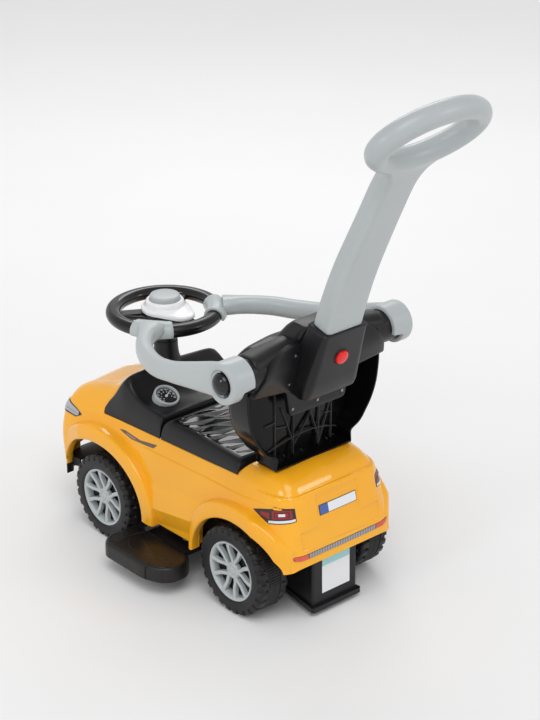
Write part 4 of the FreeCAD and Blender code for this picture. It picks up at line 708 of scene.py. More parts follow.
def about_pivot(u, v, x):
    """Point at a place across the car, u and v from the line of the arm pivots."""
    return x, PIVOT[1] + u, PIVOT[2] + v


def scoop(x):
    """Front face of the backrest, dished across."""
    return BACK_FRONT + SCOOP * max(0.0, 1 - (x / SCOOP_HALF) ** 2)


def rib(points, tall=3.4, thick=0.45):
    """Thin upright web along a line of (x, z) points, standing on the shell's back wall."""
    points = np.array(points, float)
    run = unit(np.gradient(points, axis=0))
    side = np.stack([-run[:, 1], run[:, 0]], axis=1) * thick
    corners = ((1, 2.0), (1, BACK_WALL + tall), (-1, BACK_WALL + tall), (-1, 2.0))
    return loft([[(p[0] + a * s[0], scoop(p[0]) + y, p[1] + a * s[1]) for a, y in corners]
                 for p, s in zip(points, side)])


def backrest():
    line = rounded(mirrored([(83, 258.5, 0), (83, 281, 5), (104, 290, 26), (137, 336, 60), (146, 392, 60),
                             (142, 448, 30), (112, 470, 24), (56, 478, 10)]), 12)
    middle = np.array((0.0, 372.0))

    def ring(amount, y):
        return [(u, y, v) for u, v in inset(line, amount)]

    def disc(amount, share, wall):
        return [(u, scoop(u) + wall, v) for u, v in middle + (inset(line, amount) - middle) * share]

    rings = [disc(4.4, s, BACK_WALL) for s in (0.04, 0.3, 0.55, 0.75, 0.9, 0.985)]
    rings += [ring(amount, BACK_REAR - less) for amount, less in ((4.2, 2), (3.4, 0), (0.8, 0), (0, 0.8))]
    rings += [ring(amount, BACK_FRONT + more) for amount, more in ((0, 12), (0.6, 7), (2.2, 3), (5, 0.6))]
    rings += [disc(9, s, 0) for s in (1.0, 0.9, 0.75, 0.55, 0.3, 0.04)]
    stand_in("backrest_shell", loft(rings), "backrest_black", slot="black_satin", name="backrest_look")
    straight = [((x, low), (x, high)) for x, low, high in ((-62, 264, 352), (-30, 262, 356), (26, 262, 356),
                                                           (62, 264, 384))]
    straight += [((-60, 338), (-31, 268)), ((-29, 282), (-2, 352)), ((-27, 352), (24, 282)),
                 ((26, 286), (50, 352)), ((-62, 312), (-44, 316)), ((-62, 335), (-50, 337)),
                 ((40, 318), (62, 320)), ((62, 330), (80, 326))]
    straight += [((x, 262.8), (x, 267)) for x in (-70, -52, 8, 44, 70)]
    ribs = [rib(np.linspace(*ends, 10)) for ends in straight]
    width = np.linspace(-80, 80, 24)
    ribs.append(rib([(x, 274 + 24 * math.cos(x / 80 * 1.4)) for x in width]))
    ribs.append(rib([(x, 262.6) for x in width], tall=6))
    # the ribs carry a painted highlight: light grey over what is black plastic
    piece("backrest_ribs", merge(*ribs), "rib_painted_highlight", slot="black_satin")
    for side, word in SIDES:
        rings = [[(side * x, u, v) for u, v in box_line(*box, 12)] for x, *box in SHOULDER]
        trunnion = turned(lambda u, v, h: about_pivot(u, v, side * h), TRUNNION, 48)
        piece(f"{word}_shoulder", merge(loft(rings), trunnion), "black_satin")


rear_cover()
backrest()


# guard arms

COLUMN_Y = -249.5
RIM_MIDDLE, RIM_RADIUS, ARM_X, ARM_DROP = np.array((0.0, COLUMN_Y, 397.0)), 92.0, 179.0, 41.0
SIT, SADDLE_HALF = math.radians(38), math.radians(21)
GRIP_RADIUS, GRIP_WIDE, GRIP_TALL = 89.4, 13.8, 11.3
CUFF_START, CUFF_TURNS, CUFF_GAP = 150.0, 64, 1.68 * math.pi
KNOB_START, KNOB_DOME, KNOB_RADIUS, KNOB_HEIGHT = 186.0, 189.0, 18.6, 14.6


def arm_tube():
    """Bowed arm from the pivot to the steering rim, deep at the pivot and slightly square all along."""
    spot = RIM_MIDDLE + RIM_RADIUS * np.array((math.cos(SIT), math.sin(SIT), 0))
    inward, reach = ARM_X - spot[0], PIVOT[1] - spot[1]
    # shares of the way inward, forward and down
    shares = ((0, 0, 0), (0, 0.10, 0.14), (0, 0.25, 0.40), (0.01, 0.44, 0.73), (0.07, 0.57, 0.92),
              (0.18, 0.68, 1), (0.36, 0.80, 1), (0.65, 0.91, 1), (0.94, 0.985, 1))
    stops = [PIVOT + np.array((ARM_X - inward * a, -reach * b, -ARM_DROP * c)) for a, b, c in shares]
    line = curve_through(stops, 72)
    squarish = [(math.copysign(abs(c) ** 0.8, c), math.copysign(abs(s) ** 0.8, s)) for c, s in circle(28)]
    rings = []
    for t, p, way in zip(np.linspace(0, 1, len(line)), line, unit(np.gradient(line, axis=0))):
        aside = unit(np.cross(way, (0, 0, 1.0)))
        upward = np.cross(aside, way)
        tall = 17.0 + 15.5 * (1 - min(t / 0.42, 1.0)) ** 1.25 - 1.2 * rise(t, 0.55, 0.95)
        wide = 14.4 - 1.4 * (1 - rise(t, 0.0, 0.2)) + 9.0 * rise(t, 0.84, 1.0) ** 2
        rings.append([p + aside * wide * c + upward * tall * s for c, s in squarish])
    return loft(rings)


def arm_cuff():
    """Cuff round the trunnion, with a notch at the bottom of its inner end."""
    profile = ((0.0, 28.6), (0.0, 32.6), (1.6, 34.4), (10, 34.6), (30, 34.6), (40.0, 34.6), (42.4, 33.8),
               (43.5, 31.8), (43.5, 24.6), (42.6, 23.2), (31.4, 22.6), (31.4, 12), (30.6, 10), (28.0, 10),
               (27.4, 28.4))
    rings = []
    for angle in np.arange(CUFF_TURNS) * 2 * math.pi / CUFF_TURNS:
        low = 1 - rise(abs((angle - CUFF_GAP + math.pi) % (2 * math.pi) - math.pi), 0.70, 0.78)
        ring = []
        for x, r in profile:
            notch = 22.0 * low if x < 3 else 14.0 * low if x < 12 else 0.0
            ring.append(about_pivot(r * math.cos(angle), r * math.sin(angle), CUFF_START + notch + x))
        rings.append(ring)
    return hoop(rings)


def arm_saddle():
    """Open clip that sits over the steering rim."""
    rings = []
    for angle in np.linspace(SIT - SADDLE_HALF, SIT + SADDLE_HALF, 26):
        out = np.array((math.cos(angle), math.sin(angle), 0))
        share = abs(angle - SIT) / SADDLE_HALF
        thick = 1.2 * (1 - rise(share, 0.2, 0.9)) - 1.4 * rise(share, 0.93, 1.0)
        turn = np.linspace(-0.42, math.pi + 0.42, 22)
        ring = [(18.8 + thick, 16.6 + thick, a) for a in turn] + [(14.4, 12.4, a) for a in turn[::-1]]
        rings.append([RIM_MIDDLE + out * (GRIP_RADIUS + w * math.cos(a)) + np.array((0, 0, h * math.sin(a)))
                      for w, h, a in ring])
    return loft(rings)


def guard_arm(side, word):
    stand_in(f"{word}_guard_arm", merge(arm_tube(), arm_cuff(), arm_saddle()), "grey_gloss", 42, side=side)
    dome = [(KNOB_RADIUS, KNOB_START)]
    for a in np.linspace(0, 1.545, 14):
        dome.append((KNOB_RADIUS * math.cos(a), KNOB_DOME + KNOB_HEIGHT * math.sin(a)))
    stand_in(f"{word}_arm_button", turned(about_pivot, dome, 40), "black_gloss", 50, side=side)


for side, word in SIDES:
    guard_arm(side, word)


# parent handle: a bowed stem with a raised seam, and an oval grip

STEM_RUNS = ((150.0, math.radians(10)), (115.0, 0.0), (78.0, math.radians(14)))
STEM_LENGTH = sum(length for length, _ in STEM_RUNS)
LOOP_WIDE, LOOP_TALL, LOOP_THICK, LOOP_DEEP, LOOP_SEAM = 99.0, 56.5, 17.3, 18.3, 0.2


def stem_at(gone):
    """Point of the stem's centre line, and the ways up and back from it."""
    spot, angle = MOUTH, LEAN
    for length, turn in STEM_RUNS:
        part = min(gone, length)
        turned_by = turn * part / length
        chord = part if turned_by == 0 else 2 * length / turn * math.sin(turned_by / 2)
        spot = spot + ways_at(angle + turned_by / 2)[0] * chord
        angle += turned_by
        gone -= part
    return spot, *ways_at(angle)


def handle():
    # share of the stem, half width, half depth, corner radius
    table = ((0, 38, 19, 9), (0.2, 37, 18.5, 9), (0.4, 35.5, 18, 10), (0.65, 33.5, 17.5, 11),
             (0.86, 33, 17.5, 12), (0.95, 42, 15.9, 13), (0.999, 55, 16.4, 14))
    rings = []
    for share, wide, deep, radius in rows_at(table, np.linspace(0, 0.999, 60)):
        spot, _, back = stem_at(STEM_LENGTH * share + 0.6)
        seam = [(wide, -0.9, 0), (wide + 0.4, 0, 0), (wide, 0.9, 0)]
        half = [(wide, -deep, radius), *seam, (wide, deep, radius)]
        rings.append([spot + np.array((u, 0, 0)) + back * v for u, v in rounded(mirrored(half), 9)])
    stem = loft(rings)
    end, upward, back = stem_at(STEM_LENGTH)
    middle = end + upward * LOOP_TALL
    # a fine seam stands on the ring's outer and inner line
    section = [((LOOP_THICK + (LOOP_SEAM if k % 18 == 0 else 0)) * c, LOOP_DEEP * s)
               for k, (c, s) in enumerate(circle(36))]
    rings = []
    for c, s in circle(120):
        spot = middle + np.array((LOOP_WIDE * c, 0, 0)) + upward * LOOP_TALL * s
        out = unit(np.array((c / LOOP_WIDE, 0, 0)) + upward * s / LOOP_TALL)
        rings.append([spot + out * u + back * v for u, v in section])
    tang = loft([box_ring(34, -15, 15, 2, leaning(u)) for u in (-112, 1)])
    stand_in("handle", merge(stem, hoop(rings), tang), "grey_gloss", 60)


handle()


# prints and lamps on the body skin

PRINT_SINK = 0.8
# a line along the inside of the body, in metres
CORE_FRONT, CORE_REAR, CORE_Z = -0.33, 0.1, 0.15
skin_tree = BVHTree.FromPolygons([v.co for v in skin.data.vertices],
                                 [tuple(f.vertices) for f in skin.data.polygons])


def on_skin(p):
    """Nearest place on the skin, in millimetres, and the way out of it."""
    spot, out, _, _ = skin_tree.find_nearest(Vector(p) * MM)
    inside = Vector((0, max(min(spot.y, CORE_REAR), CORE_FRONT), CORE_Z))
    if out.dot(spot - inside) < 0:
        out = -out
    return np.array(spot) / MM, np.array(out)


def along(line, share):
    """Point at a share of a line's length."""
    line = np.asarray(line, float)
    gone = lengths(line)
    return np.array([np.interp(share * gone[-1], gone, line[:, k]) for k in range(3)])


def sheet(top, bottom):
    """Place on the skin from a share along two lines and a share between them."""
    def at(s, t):
        a, b = along(top, s), along(bottom, s)
        return on_skin(a + (b - a) * t)
    return at


def thin_grid(at, across, down, height, columns, rows):
    """Closed thin slab over a part of a sheet."""
    top, low = [], []
    for s in np.linspace(*across, columns):
        for t in np.linspace(*down, rows):
            spot, out = at(s, t)
            top.append(spot + out * height)
            low.append(spot - out * PRINT_SINK)
    count = len(top)
    faces = grid_faces(columns, rows)
    faces += [tuple(count + v for v in f[::-1]) for f in faces]
    rim = [c * rows for c in range(columns)] + [(columns - 1) * rows + r for r in range(1, rows)]
    rim += [c * rows + rows - 1 for c in range(columns - 2, -1, -1)] + list(range(rows - 2, 0, -1))
    faces += [(a, b, count + b, count + a) for a, b in zip(rim, rim[1:] + rim[:1])]
    return top + low, faces


def print_on(name, at, fields, look, slot, height, both=True, columns=22, rows=7):
    """Fields of one print, given as shares of a sheet, on both sides of the car."""
    meshes = []
    for across, down in fields:
        points, faces = thin_grid(at, across, down, height, columns, rows)
        meshes.append((points, faces))
        if both:
            meshes.append(([p * (-1, 1, 1) for p in points], faces))
    piece(name, merge(*meshes), look, sharp=30, slot=slot)


def across_car(half):
    """Line over the whole width from its left half, which ends in the middle."""
    return list(half) + [(-x, y, z) for x, y, z in half[-2::-1]]


def tail_marks():
    whole = [((0, 1), (0, 1))]
    lamp = sheet([(118.7, 119, 200.4), (114.6, 137, 206), (109, 158.7, 212.4), (100, 173, 214.6),
                  (88, 182, 214.5)],
                 [(118.8, 121, 199.2), (118.6, 137, 192.3), (118, 155, 186.2), (111, 173, 190),
                  (99, 184, 191.2), (89, 188.6, 193.4)])
    print_on("tail_lamps", lamp, whole, "lamp_dark", "black_gloss", 0.6, columns=30)
    red = [((0.20, 0.46), (0.26, 0.66)), ((0.52, 0.93), (0.12, 0.68))]
    print_on("tail_lamp_red", lamp, red, "lamp_red", "red_gloss", 1.0)
    print_on("tail_lamp_inner", lamp, [((0.57, 0.88), (0.22, 0.58))], "lamp_dark", "black_gloss", 1.3)
    print_on("tail_lamp_ring", lamp, [((0.60, 0.85), (0.28, 0.53))], "lamp_red", "red_gloss", 1.6)
    white = [((0.66, 0.78), (0.31, 0.50)), ((0.44, 0.98), (0.77, 0.93))]
    print_on("tail_lamp_white", lamp, white, "lamp_white", "white_gloss", 1.8)
    strip = sheet(across_car([(107, 196, 136.4), (92, 200.6, 135.6), (76, 202.5, 135), (0, 203, 134.6)]),
                  across_car([(102.5, 199, 129.2), (90, 201.4, 126.6), (75, 202.5, 125.6), (0, 203, 125.2)]))
    print_on("reflector_strip", strip, whole, "lamp_dark", "black_gloss", 0.5, False, 80, 5)
    middle = [((0.148, 0.852), (0.06, 0.94))]
    print_on("reflector_grey", strip, middle, "strip_grey", "grey_gloss", 0.9, False, 60, 5)
    print_on("reflector_red", strip, [((0.008, 0.142), (0.06, 0.94))], "strip_red", "red_gloss", 0.9)
    plate = sheet([(41, 188, 205), (-41, 188, 205)], [(41, 192.4, 188), (-41, 192.4, 188)])
    print_on("plate_edge", plate, whole, "lamp_dark", "black_gloss", 0.6, False)
    field = [((0.235, 0.985), (0.06, 0.94))]
    print_on("plate_field", plate, field, "plate_white", "white_gloss", 1.0, False)
    print_on("plate_band", plate, [((0.015, 0.228), (0.06, 0.94))], "plate_blue", "black_gloss", 1.0, False)


def front_marks():
    whole = [((0, 1), (0, 1))]
    vent = sheet([(116.5, -236, 212.2), (115.8, -222.7, 214.4), (116.8, -180, 211), (115, -134.8, 217.5)],
                 [(116.5, -235, 211.2), (118, -201.5, 205.5), (117, -170, 207), (116.9, -143, 209.3)])
    print_on("fender_vent", vent, whole, "vent_brown", "black_gloss", 0.6, columns=30)
    print_on("fender_vent_light", vent, [((0.20, 0.46), (0.34, 0.62))], "vent_grey", "grey_gloss", 0.9)
    head = sheet([(120.3, -341.5, 203), (117.6, -360, 209.6), (114.6, -378, 212), (98, -398, 209),
                  (72, -411, 201)],
                 [(120.5, -342, 202), (122.6, -357, 194), (120.4, -377, 193.6), (106, -400, 190),
                  (76, -415, 186)])
    print_on("head_lamps", head, whole, "lamp_dark", "black_gloss", 0.6, columns=40)
    glass = [((0.10, 0.56), (0.10, 0.84)), ((0.60, 0.96), (0.14, 0.84))]
    print_on("head_lamp_glass", head, glass, "lamp_silver", "grey_gloss", 1.0)
    inner = [((0.16, 0.50), (0.52, 0.62)), ((0.64, 0.92), (0.52, 0.62))]
    print_on("head_lamp_inner", head, inner, "vent_grey", "grey_gloss", 1.4)
    grille = sheet(across_car([(64, -416, 184), (0, -421, 186)]),
                   across_car([(60, -419, 162), (0, -423, 162)]))
    print_on("nose_grille", grille, whole, "black_gloss", "black_gloss", 0.8, False, 40)
    bars = [((0.04, 0.96), (t, t + 0.1)) for t in (0.16, 0.44, 0.72)]
    print_on("nose_grille_bars", grille, bars, "grey_gloss", "grey_gloss", 1.8, False, 40, 3)
    intake = sheet(across_car([(74, -414, 136), (0, -423, 138)]),
                   across_car([(66, -416, 118), (0, -423, 118)]))
    print_on("nose_intake", intake, whole, "black_gloss", "black_gloss", 0.8, False, 40)


tail_marks()
front_marks()


# console and seat

CONSOLE_X, HINGE_Y, HINGE_Z = 112.2, -120.5, 254.0
GAUGE_WAY = np.array((0, 0.45, 0.89)) / math.hypot(0.45, 0.89)


def gauge_middle(side):
    return np.array((60.0 * side, -178.9, 272.0))


def console_grid(rows, stations):
    """Points of a skin across the car from rows of y, crease x z, top x z and middle z."""
    half = []
    for y, crease_x, crease_z, *top in rows_at(rows, stations):
        low = belt_at(y) + 0.9
        waist = low + (crease_z - low) * 0.55
        half.append(half_section(np.array((y, low, CONSOLE_X, 110.0, waist, crease_x, crease_z, *top))))
    return both_sides(np.stack(half), stations)


def console_skin(node, name, flat, shape, look, slot=None):
    """Thin skin over a grid of points, closed at its rear end."""
    rows, count = shape[:2]
    rear = [(rows - 1) * count + c for c in range(count)]
    obj = stand_in(node, (flat, grid_faces(rows, count) + [rear]), look, 34, slot, name)
    thicken(obj, CONSOLE_WALL)
    return obj


def dash():
    rows = ((-289.6, 111.2, 225.5, 106, 226, 226.5), (-287.5, 110.8, 231, 103, 233.5, 235),
            (-262, 107, 267, 92, 271, 274), (-242, 104, 294, 88, 303, 306),
            (-236.5, 103.5, 297.5, 87, 306, 311), (-228, 103.5, 295, 88, 301, 309),
            (-214, 104, 287, 90, 288, 298), (-200, 104.5, 280, 92, 277.5, 286),
            (-182, 105, 275, 93, 270.5, 276), (-160, 105, 271.5, 94, 268, 270),
            (-140, 105, 269, 94, 267, 268.6), (-134, 105, 267.4, 94, 266, 267.4),
            (-131.4, 104, 263.4, 93, 262, 263.4))
    grid = console_grid(rows, spaced(-289.6, (-238, 30), (-138, 50), (-131.4, 8)))
    flat = grid.reshape(-1, 3).copy()
    # a flat seat is pressed into the top under each gauge
    for side in (1, -1):
        gone = flat - gauge_middle(side)
        high = gone @ GAUGE_WAY
        away = np.linalg.norm(gone - high[:, None] * GAUGE_WAY, axis=1)
        flat -= (np.clip(high - 1.0, 0, None) * (away < 22.6))[:, None] * GAUGE_WAY
    console_skin("dash_console", "dash_look", flat, grid.shape, "black_satin")
    sleeve = ((31, 296), (29, 303), (26, 309), (23.4, 316), (22, 325), (21.2, 334), (21, 343.4),
              (20.2, 344.6), (17.2, 344.6), (17.2, 300))
    meshes = [turned(lambda u, v, h: (u, COLUMN_Y + v, h), sleeve, 48)]
    # eyes that hold the seat's hinge
    eye = rounded([(-133, 233, 1), (-118.5, 233, 4), (-116.6, 246, 3), (-116.3, 258.2, 4.2),
                   (-124.7, 258.2, 4.2), (-124.2, 250.9, 3), (-121.6, 248, 2), (-121.6, 241.5, 2),
                   (-133, 241.5, 1)])
    meshes += [slab(eye, x, x + 10, 1.0, lambda u, v, level: (level, u, v)) for x in (62, -72)]
    piece("column_sleeve", merge(*meshes), "black_satin")


LEAF_PITCH, LEAF_TURN, LEAF_LENGTH, LEAF_SLOPE, LEAF_SINK = 23.0, 0.28, 62.0, 0.13, 1.2
# share of the pitch that falls where a leaf is narrowest, how much it widens, and how uneven the rows are
LEAF_NARROW, LEAF_WIDEN, LEAF_STAGGER = 0.16, 0.52, 0.12
FACET_X, FACET_FRONT, FACET_REAR = 95, -124, 66


def leaf_relief(x, y):
    """Leaf-shaped facets of the seat: slanting ridges, each with a gentle fall that widens and narrows."""
    across = y + LEAF_TURN * x
    ridge = np.floor(across / LEAF_PITCH)
    turn = x / LEAF_LENGTH + 0.5 * ridge + LEAF_STAGGER * np.sin(3.0 * ridge)
    leaf = np.abs(2.0 * (turn - np.floor(turn)) - 1.0)
    fall = LEAF_PITCH * (LEAF_NARROW + LEAF_WIDEN * leaf)
    climb = LEAF_PITCH - fall
    run = across - ridge * LEAF_PITCH
    wave = np.where(run < climb, fall * run / climb, LEAF_PITCH - run)
    field = (1 - rise(np.abs(x), 84, 94)) * rise(y, -114, -102) * (1 - rise(y, 50, 62))
    return field * (LEAF_SLOPE * wave - LEAF_SINK)


def seat():
    rows = ((-128.2, 104, 253, 94, 255, 255.5), (-127.2, 104.2, 257, 93, 259, 259.2),
            (-123, 104.4, 261, 92, 262.8, 262.6), (-110, 104.4, 263.6, 91, 266, 265),
            (-60, 104.2, 263.6, 90, 266, 263.6), (0, 104, 263, 90, 265.6, 263),
            (40, 104, 262.6, 90, 265.4, 263.4), (60, 104, 261.8, 90, 264.8, 263.8),
            (67.5, 104, 259.5, 91, 262, 262), (70.4, 104, 255, 93, 257, 257.5))
    grid = console_grid(rows, spaced(-128.2, (-118, 12), (60, 110), (70.4, 10)))
    flat = grid.reshape(-1, 3).copy()
    flat[:, 2] += leaf_relief(flat[:, 0], flat[:, 1])
    made = console_skin("seat_lid", "seat_look", flat, grid.shape, "seat_black", "black_gloss")
    # the rim round the facets is satin
    made.data.materials.append(LOOKS["black_satin"])
    for face in made.data.polygons:
        spot = face.center / MM
        if abs(spot.x) > FACET_X or not FACET_FRONT < spot.y < FACET_REAR:
            face.material_index = 1
    barrel = turned(lambda u, v, h: (h, HINGE_Y + u, HINGE_Z + v), ((6.0, -61.6), (6.0, 61.6)), 24)
    piece("lid_barrel", barrel, "black_satin", BODY_OF["seat_lid"])


dash()
seat()


# gauges, horn and steering wheel

def gauges():
    """Round gauges: grey bezel, black dial, plain ticks and a needle, with no figures."""
    bezel = ((23, -9), (23, 9.4), (22.7, 10.8), (21.8, 11.8), (20.6, 12), (19.5, 11.6), (18.9, 10.4),
             (18.8, 5))
    dial = ((18.9, 3), (18.9, 7.4), (12, 7.4), (0.3, 7.4))
    bezels, dials, marks = [], [], []
    right = np.array((1.0, 0, 0))
    upward = np.cross(GAUGE_WAY, right)

    def bar(middle, turn, inner, outer, wide):
        run = right * math.cos(math.radians(turn)) + upward * math.sin(math.radians(turn))
        aside = np.cross(GAUGE_WAY, run)
        corners = ((inner, -wide), (outer, -wide), (outer, wide), (inner, wide))
        flat = [middle + run * r + aside * w for r, w in corners]
        marks.append(loft([[p + GAUGE_WAY * h for p in flat] for h in (7.0, 7.8)]))

    for side in (1, -1):
        middle = gauge_middle(side)
        bezels.append(turned_about(middle, GAUGE_WAY, bezel))
        dials.append(turned_about(middle, GAUGE_WAY, dial))
        for k in range(25):
            long = k % 3 == 0
            bar(middle, -215 + 250 * k / 24, 12.4 if long else 14.4, 17, 0.65 if long else 0.4)
        for k in range(7):
            bar(middle, -205 + 230 * k / 6, 8.6, 10.2, 1.0)
        bar(middle, -150 if side > 0 else -35, -3.5, 11.5, 0.7)
        marks.append(turned_about(middle, GAUGE_WAY, ((2.6, 7), (2.6, 8.4), (1.8, 9.2), (0.2, 9.4)), 20))
    stand_in("gauge_bezels", merge(*bezels), "grey_gloss", 40, name="gauge_rings")
    stand_in("gauge_dials", merge(*dials), "dial_black", 40, "black_gloss", "gauge_faces")
    piece("gauge_marks", merge(*marks), "lamp_white", sharp=30, slot="white_gloss")


# the horn is a large and a small circle, this far apart, with a skin drawn over both
HORN_REACH, HORN_LARGE, HORN_SMALL = 46.5, 41.5, 22.5


def pear(sin, cos):
    """Distance from the horn's middle to its outline."""
    best = 0.0
    for t in np.linspace(0, 1, 40):
        away, radius = HORN_REACH * t, HORN_LARGE + (HORN_SMALL - HORN_LARGE) * t
        inside = radius ** 2 - (away * cos) ** 2
        if inside >= 0:
            best = max(best, away * sin + math.sqrt(inside))
    return best


def horn():
    ways = circle(96)
    outline = [pear(s, c) for c, s in ways]
    rings = []
    # level, inset from the outline, share of the circle there, the circle's radius
    for z, less, share, radius in (
            (399.6, 3.0, 0, 0), (400.4, 1.0, 0, 0), (401.6, 0, 0, 0), (405.4, 0, 0, 0), (406.8, 0.6, 0, 0),
            (408, 2.0, 0, 0), (408.6, 4.2, 0, 0), (409, 5, 0.35, 37.5), (409.8, 5, 0.75, 36.2),
            (411.4, 5, 1, 35.2), (414.6, 0, 1, 34.2), (417.6, 0, 1, 33.2), (419.6, 0, 1, 31.8),
            (420.4, 0, 1, 30.2), (420.6, 0, 1, 28.2), (420.0, 0, 1, 27.2), (412, 0, 1, 27.0)):
        reach = [(far - less) * (1 - share) + radius * share for far in outline]
        rings.append([(r * c, COLUMN_Y + r * s, z) for r, (c, s) in zip(reach, ways)])
    stand_in("horn_housing", loft(rings), "white_gloss", 40, name="horn_look")
    cap = ((25.9, 412), (26.5, 413), (26.5, 425.2), (26.2, 426.8), (25.2, 428.1), (23.4, 428.9), (16, 429.4),
           (8, 429.6), (0.3, 429.7))
    foot = np.array((0, COLUMN_Y, 0))
    stand_in("horn_button", turned_about(foot, np.array((0, 0, 1.0)), cap, 64), "grey_gloss", 40)


def wheel_spokes():
    spokes = []
    for turn in (90, 210, 330):
        out = np.array((math.cos(math.radians(turn)), math.sin(math.radians(turn)), 0))
        aside = np.array((-out[1], out[0], 0))
        rings = []
        for r, half, low, high in (
                (26, 24, -9, 0), (38, 18, -9, 0), (50, 14.5, -8.5, 0.5), (60, 13, -8, 1.5),
                (68, 12.4, -7.5, 2.4), (75, 12.4, -7, 3.2), (82, 12.6, -6, 3.6)):
            def lift(u, v):
                return RIM_MIDDLE + out * r + aside * u + np.array((0, 0, v))
            rings.append(box_ring(half, low, high, 4, lift))
        spokes.append(loft(rings))
    piece("wheel_spokes", merge(*spokes), "black_gloss", "steering", 40)


def grip():
    """Wide flat grip over the wheel's rim."""
    rings = []
    for along_x, along_y in circle(120):
        out = np.array((along_x, along_y, 0))
        rings.append([RIM_MIDDLE + out * (GRIP_RADIUS + GRIP_WIDE * c) + np.array((0, 0, GRIP_TALL * s))
                      for c, s in circle(28)])
    piece("rim_grip", hoop(rings), "black_gloss", "steering", 50)


gauges()
horn()
wheel_spokes()


# footrests

STEP_TOP, STEP_SIDE = 56.9, np.linspace(31, 50, 6)


def bead(path, radius=0.8):
    """Thin round bead along a line."""
    path = np.array(path, float)
    rings = []
    for p, way in zip(path, unit(np.gradient(path, axis=0))):
        a = unit(np.cross(way, (0.3, 0.2, 0.93)))
        b = np.cross(way, a)
        rings.append([p + radius * (a * c + b * s) for c, s in circle(8)])
    return loft(rings)


def footrest(side, word):
    outline = rounded([(133, -172, 5), (150, -177, 16), (192, -180, 26), (214.8, -163, 24), (214.8, -52, 40),
                       (196, -14, 30), (158, -9.2, 26), (133, -30, 12)], 10)
    steps = ((0, 30), (0, 49), (0.5, 52.6), (1.8, 55), (4.2, 56.5), (7.5, 57))
    tread = loft([[(u, v, z) for u, v in inset(outline, amount)] for amount, z in steps])
    plan = rounded([(46, -146.5, 3), (140, -146.5, 3), (140, -42.5, 3), (46, -42.5, 3)])
    tongue = slab(plan, 46.0, 54.0, 1.0, lambda u, v, level: (u, v, level))
    turn = np.linspace(0, 2 * math.pi, 40)
    lines = [[(184 + 17 * math.cos(a), -160 + 11 * math.sin(a), STEP_TOP) for a in turn],
             [(172 + 22 * math.sin(a), -104 - 34 * math.cos(a), STEP_TOP) for a in np.linspace(0, 2.7, 30)],
             [(188 + 15 * math.cos(a), -38 + 15 * math.sin(a), STEP_TOP) for a in np.linspace(0.6, 4.6, 26)]]
    for y in (-148, -96, -52):
        over = [(213.2, y, 53.6), (210, y, 56), (203, y, STEP_TOP)]
        lines.append([(214.2, y, z) for z in STEP_SIDE] + over)
    for share in (0.652, 0.708):
        x, y = outline[int(len(outline) * share)]
        lines.append([(x, y, z) for z in STEP_SIDE])
    lines.append([(136 + 70 * t, -140 - 8 * math.sin(3.1 * t), STEP_TOP) for t in np.linspace(0, 1, 24)])
    mesh = merge(tread, tongue, *[bead(line) for line in lines])
    stand_in(f"{word}_footrest", mesh, "step_black", 40, "black_satin", side=side)


# plain label on the stop, with no text

STOP_BACK, STOP_SLOPE, STOP_FOOT = 186.5, 0.0192, 9.0
LABEL_RIGHT, LABEL_LEFT, LABEL_SINK = -33, 29, 0.6


def blank_field(name, low, high, look, slot, height):
    corners = ((LABEL_RIGHT, low), (LABEL_LEFT, low), (LABEL_LEFT, high), (LABEL_RIGHT, high))
    mesh = loft([[(x, STOP_BACK - STOP_SLOPE * (z - STOP_FOOT) + level, z) for x, z in corners]
                 for level in (-LABEL_SINK, height)])
    piece(name, mesh, look, sharp=30, slot=slot)


for side, word in SIDES:
    footrest(side, word)
blank_field("blank_label", 36, 106, "plate_white", "white_gloss", 0.35)
blank_field("blank_label_band", 86, 100, "label_teal", "grey_gloss", 0.5)
grip()


# floor, light and camera

def plain_floor():
    bpy.ops.mesh.primitive_plane_add(size=60)
    floor = bpy.context.object
    floor.name = "floor"
    made, tree, shader, coords = start_material("floor_paper")
    tint = span(tree, noise(tree, coords, 2.0), 0, 1)
    tree.links.new(shade(tree, tint, srgb(241, 241, 241), srgb(243, 243, 243)), shader.inputs["Base Color"])
    shader.inputs["Roughness"].default_value = 0.9
    shader.inputs["Specular IOR Level"].default_value = 0.1
    paint(floor, made)


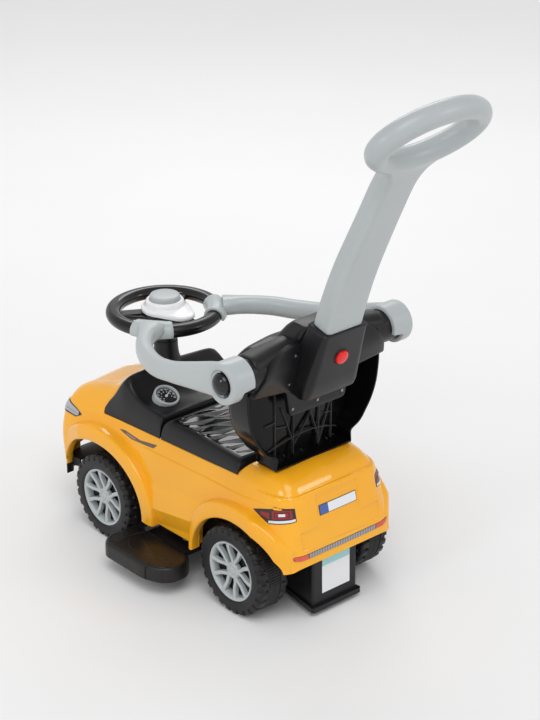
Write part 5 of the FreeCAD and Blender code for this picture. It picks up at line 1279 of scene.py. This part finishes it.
AIM = Vector((0, 0, 0.35))


def light(name, kind, energy, spot, size):
    lamp = bpy.data.lights.new(name, kind)
    lamp.energy = energy
    if kind == "SUN":
        lamp.angle = math.radians(size)
    else:
        lamp.shape = "RECTANGLE"
        lamp.size, lamp.size_y = size
    holder = bpy.data.objects.new(name, lamp)
    scene.collection.objects.link(holder)
    holder.visible_camera = False
    holder.location = spot
    holder.rotation_mode = "QUATERNION"
    holder.rotation_quaternion = (AIM - Vector(spot)).to_track_quat("-Z", "Y")


def studio():
    world = bpy.data.worlds.new("studio")
    scene.world = world
    world.use_nodes = True
    tree = world.node_tree
    sky = tree.nodes["Background"]
    sky.inputs["Strength"].default_value = 1.0
    parts = tree.nodes.new("ShaderNodeSeparateXYZ")
    tree.links.new(tree.nodes.new("ShaderNodeTexCoord").outputs["Generated"], parts.inputs["Vector"])
    height = span(tree, parts.outputs["Z"], 0, 1, 0.0, 0.7)
    tree.links.new(shade(tree, height, (0.89, 0.89, 0.9, 1), (0.47, 0.47, 0.475, 1)), sky.inputs["Color"])
    light("key", "SUN", 1.07, (1.2, 1.6, 4.0), 40)
    light("left_box", "AREA", 7, (2.3, 0.2, 1.7), (0.5, 0.6))
    light("right_box", "AREA", 6, (-1.6, 2.4, 1.9), (0.5, 0.6))
    light("back_box", "AREA", 17, (-1.6, -1.9, 2.3), (1.5, 1.0))


def photo_camera():
    lens = bpy.data.cameras.new("photo_camera")
    lens.lens = 100.0
    lens.sensor_width = 36.0
    lens.sensor_fit = "AUTO"
    holder = bpy.data.objects.new("photo_camera", lens)
    scene.collection.objects.link(holder)
    right = Vector((-0.74730935, 0.66447537, -0.00110062))
    up = Vector((-0.27315909, -0.30570052, 0.91210268))
    back = Vector((0.60573331, 0.68192351, 0.40996035))
    turn = Matrix((right, up, back)).transposed()
    holder.matrix_world = Matrix.Translation((1.98872, 2.26323, 1.74121)) @ turn.to_4x4()
    scene.camera = holder


plain_floor()
studio()
photo_camera()
scene.view_settings.view_transform = "Standard"
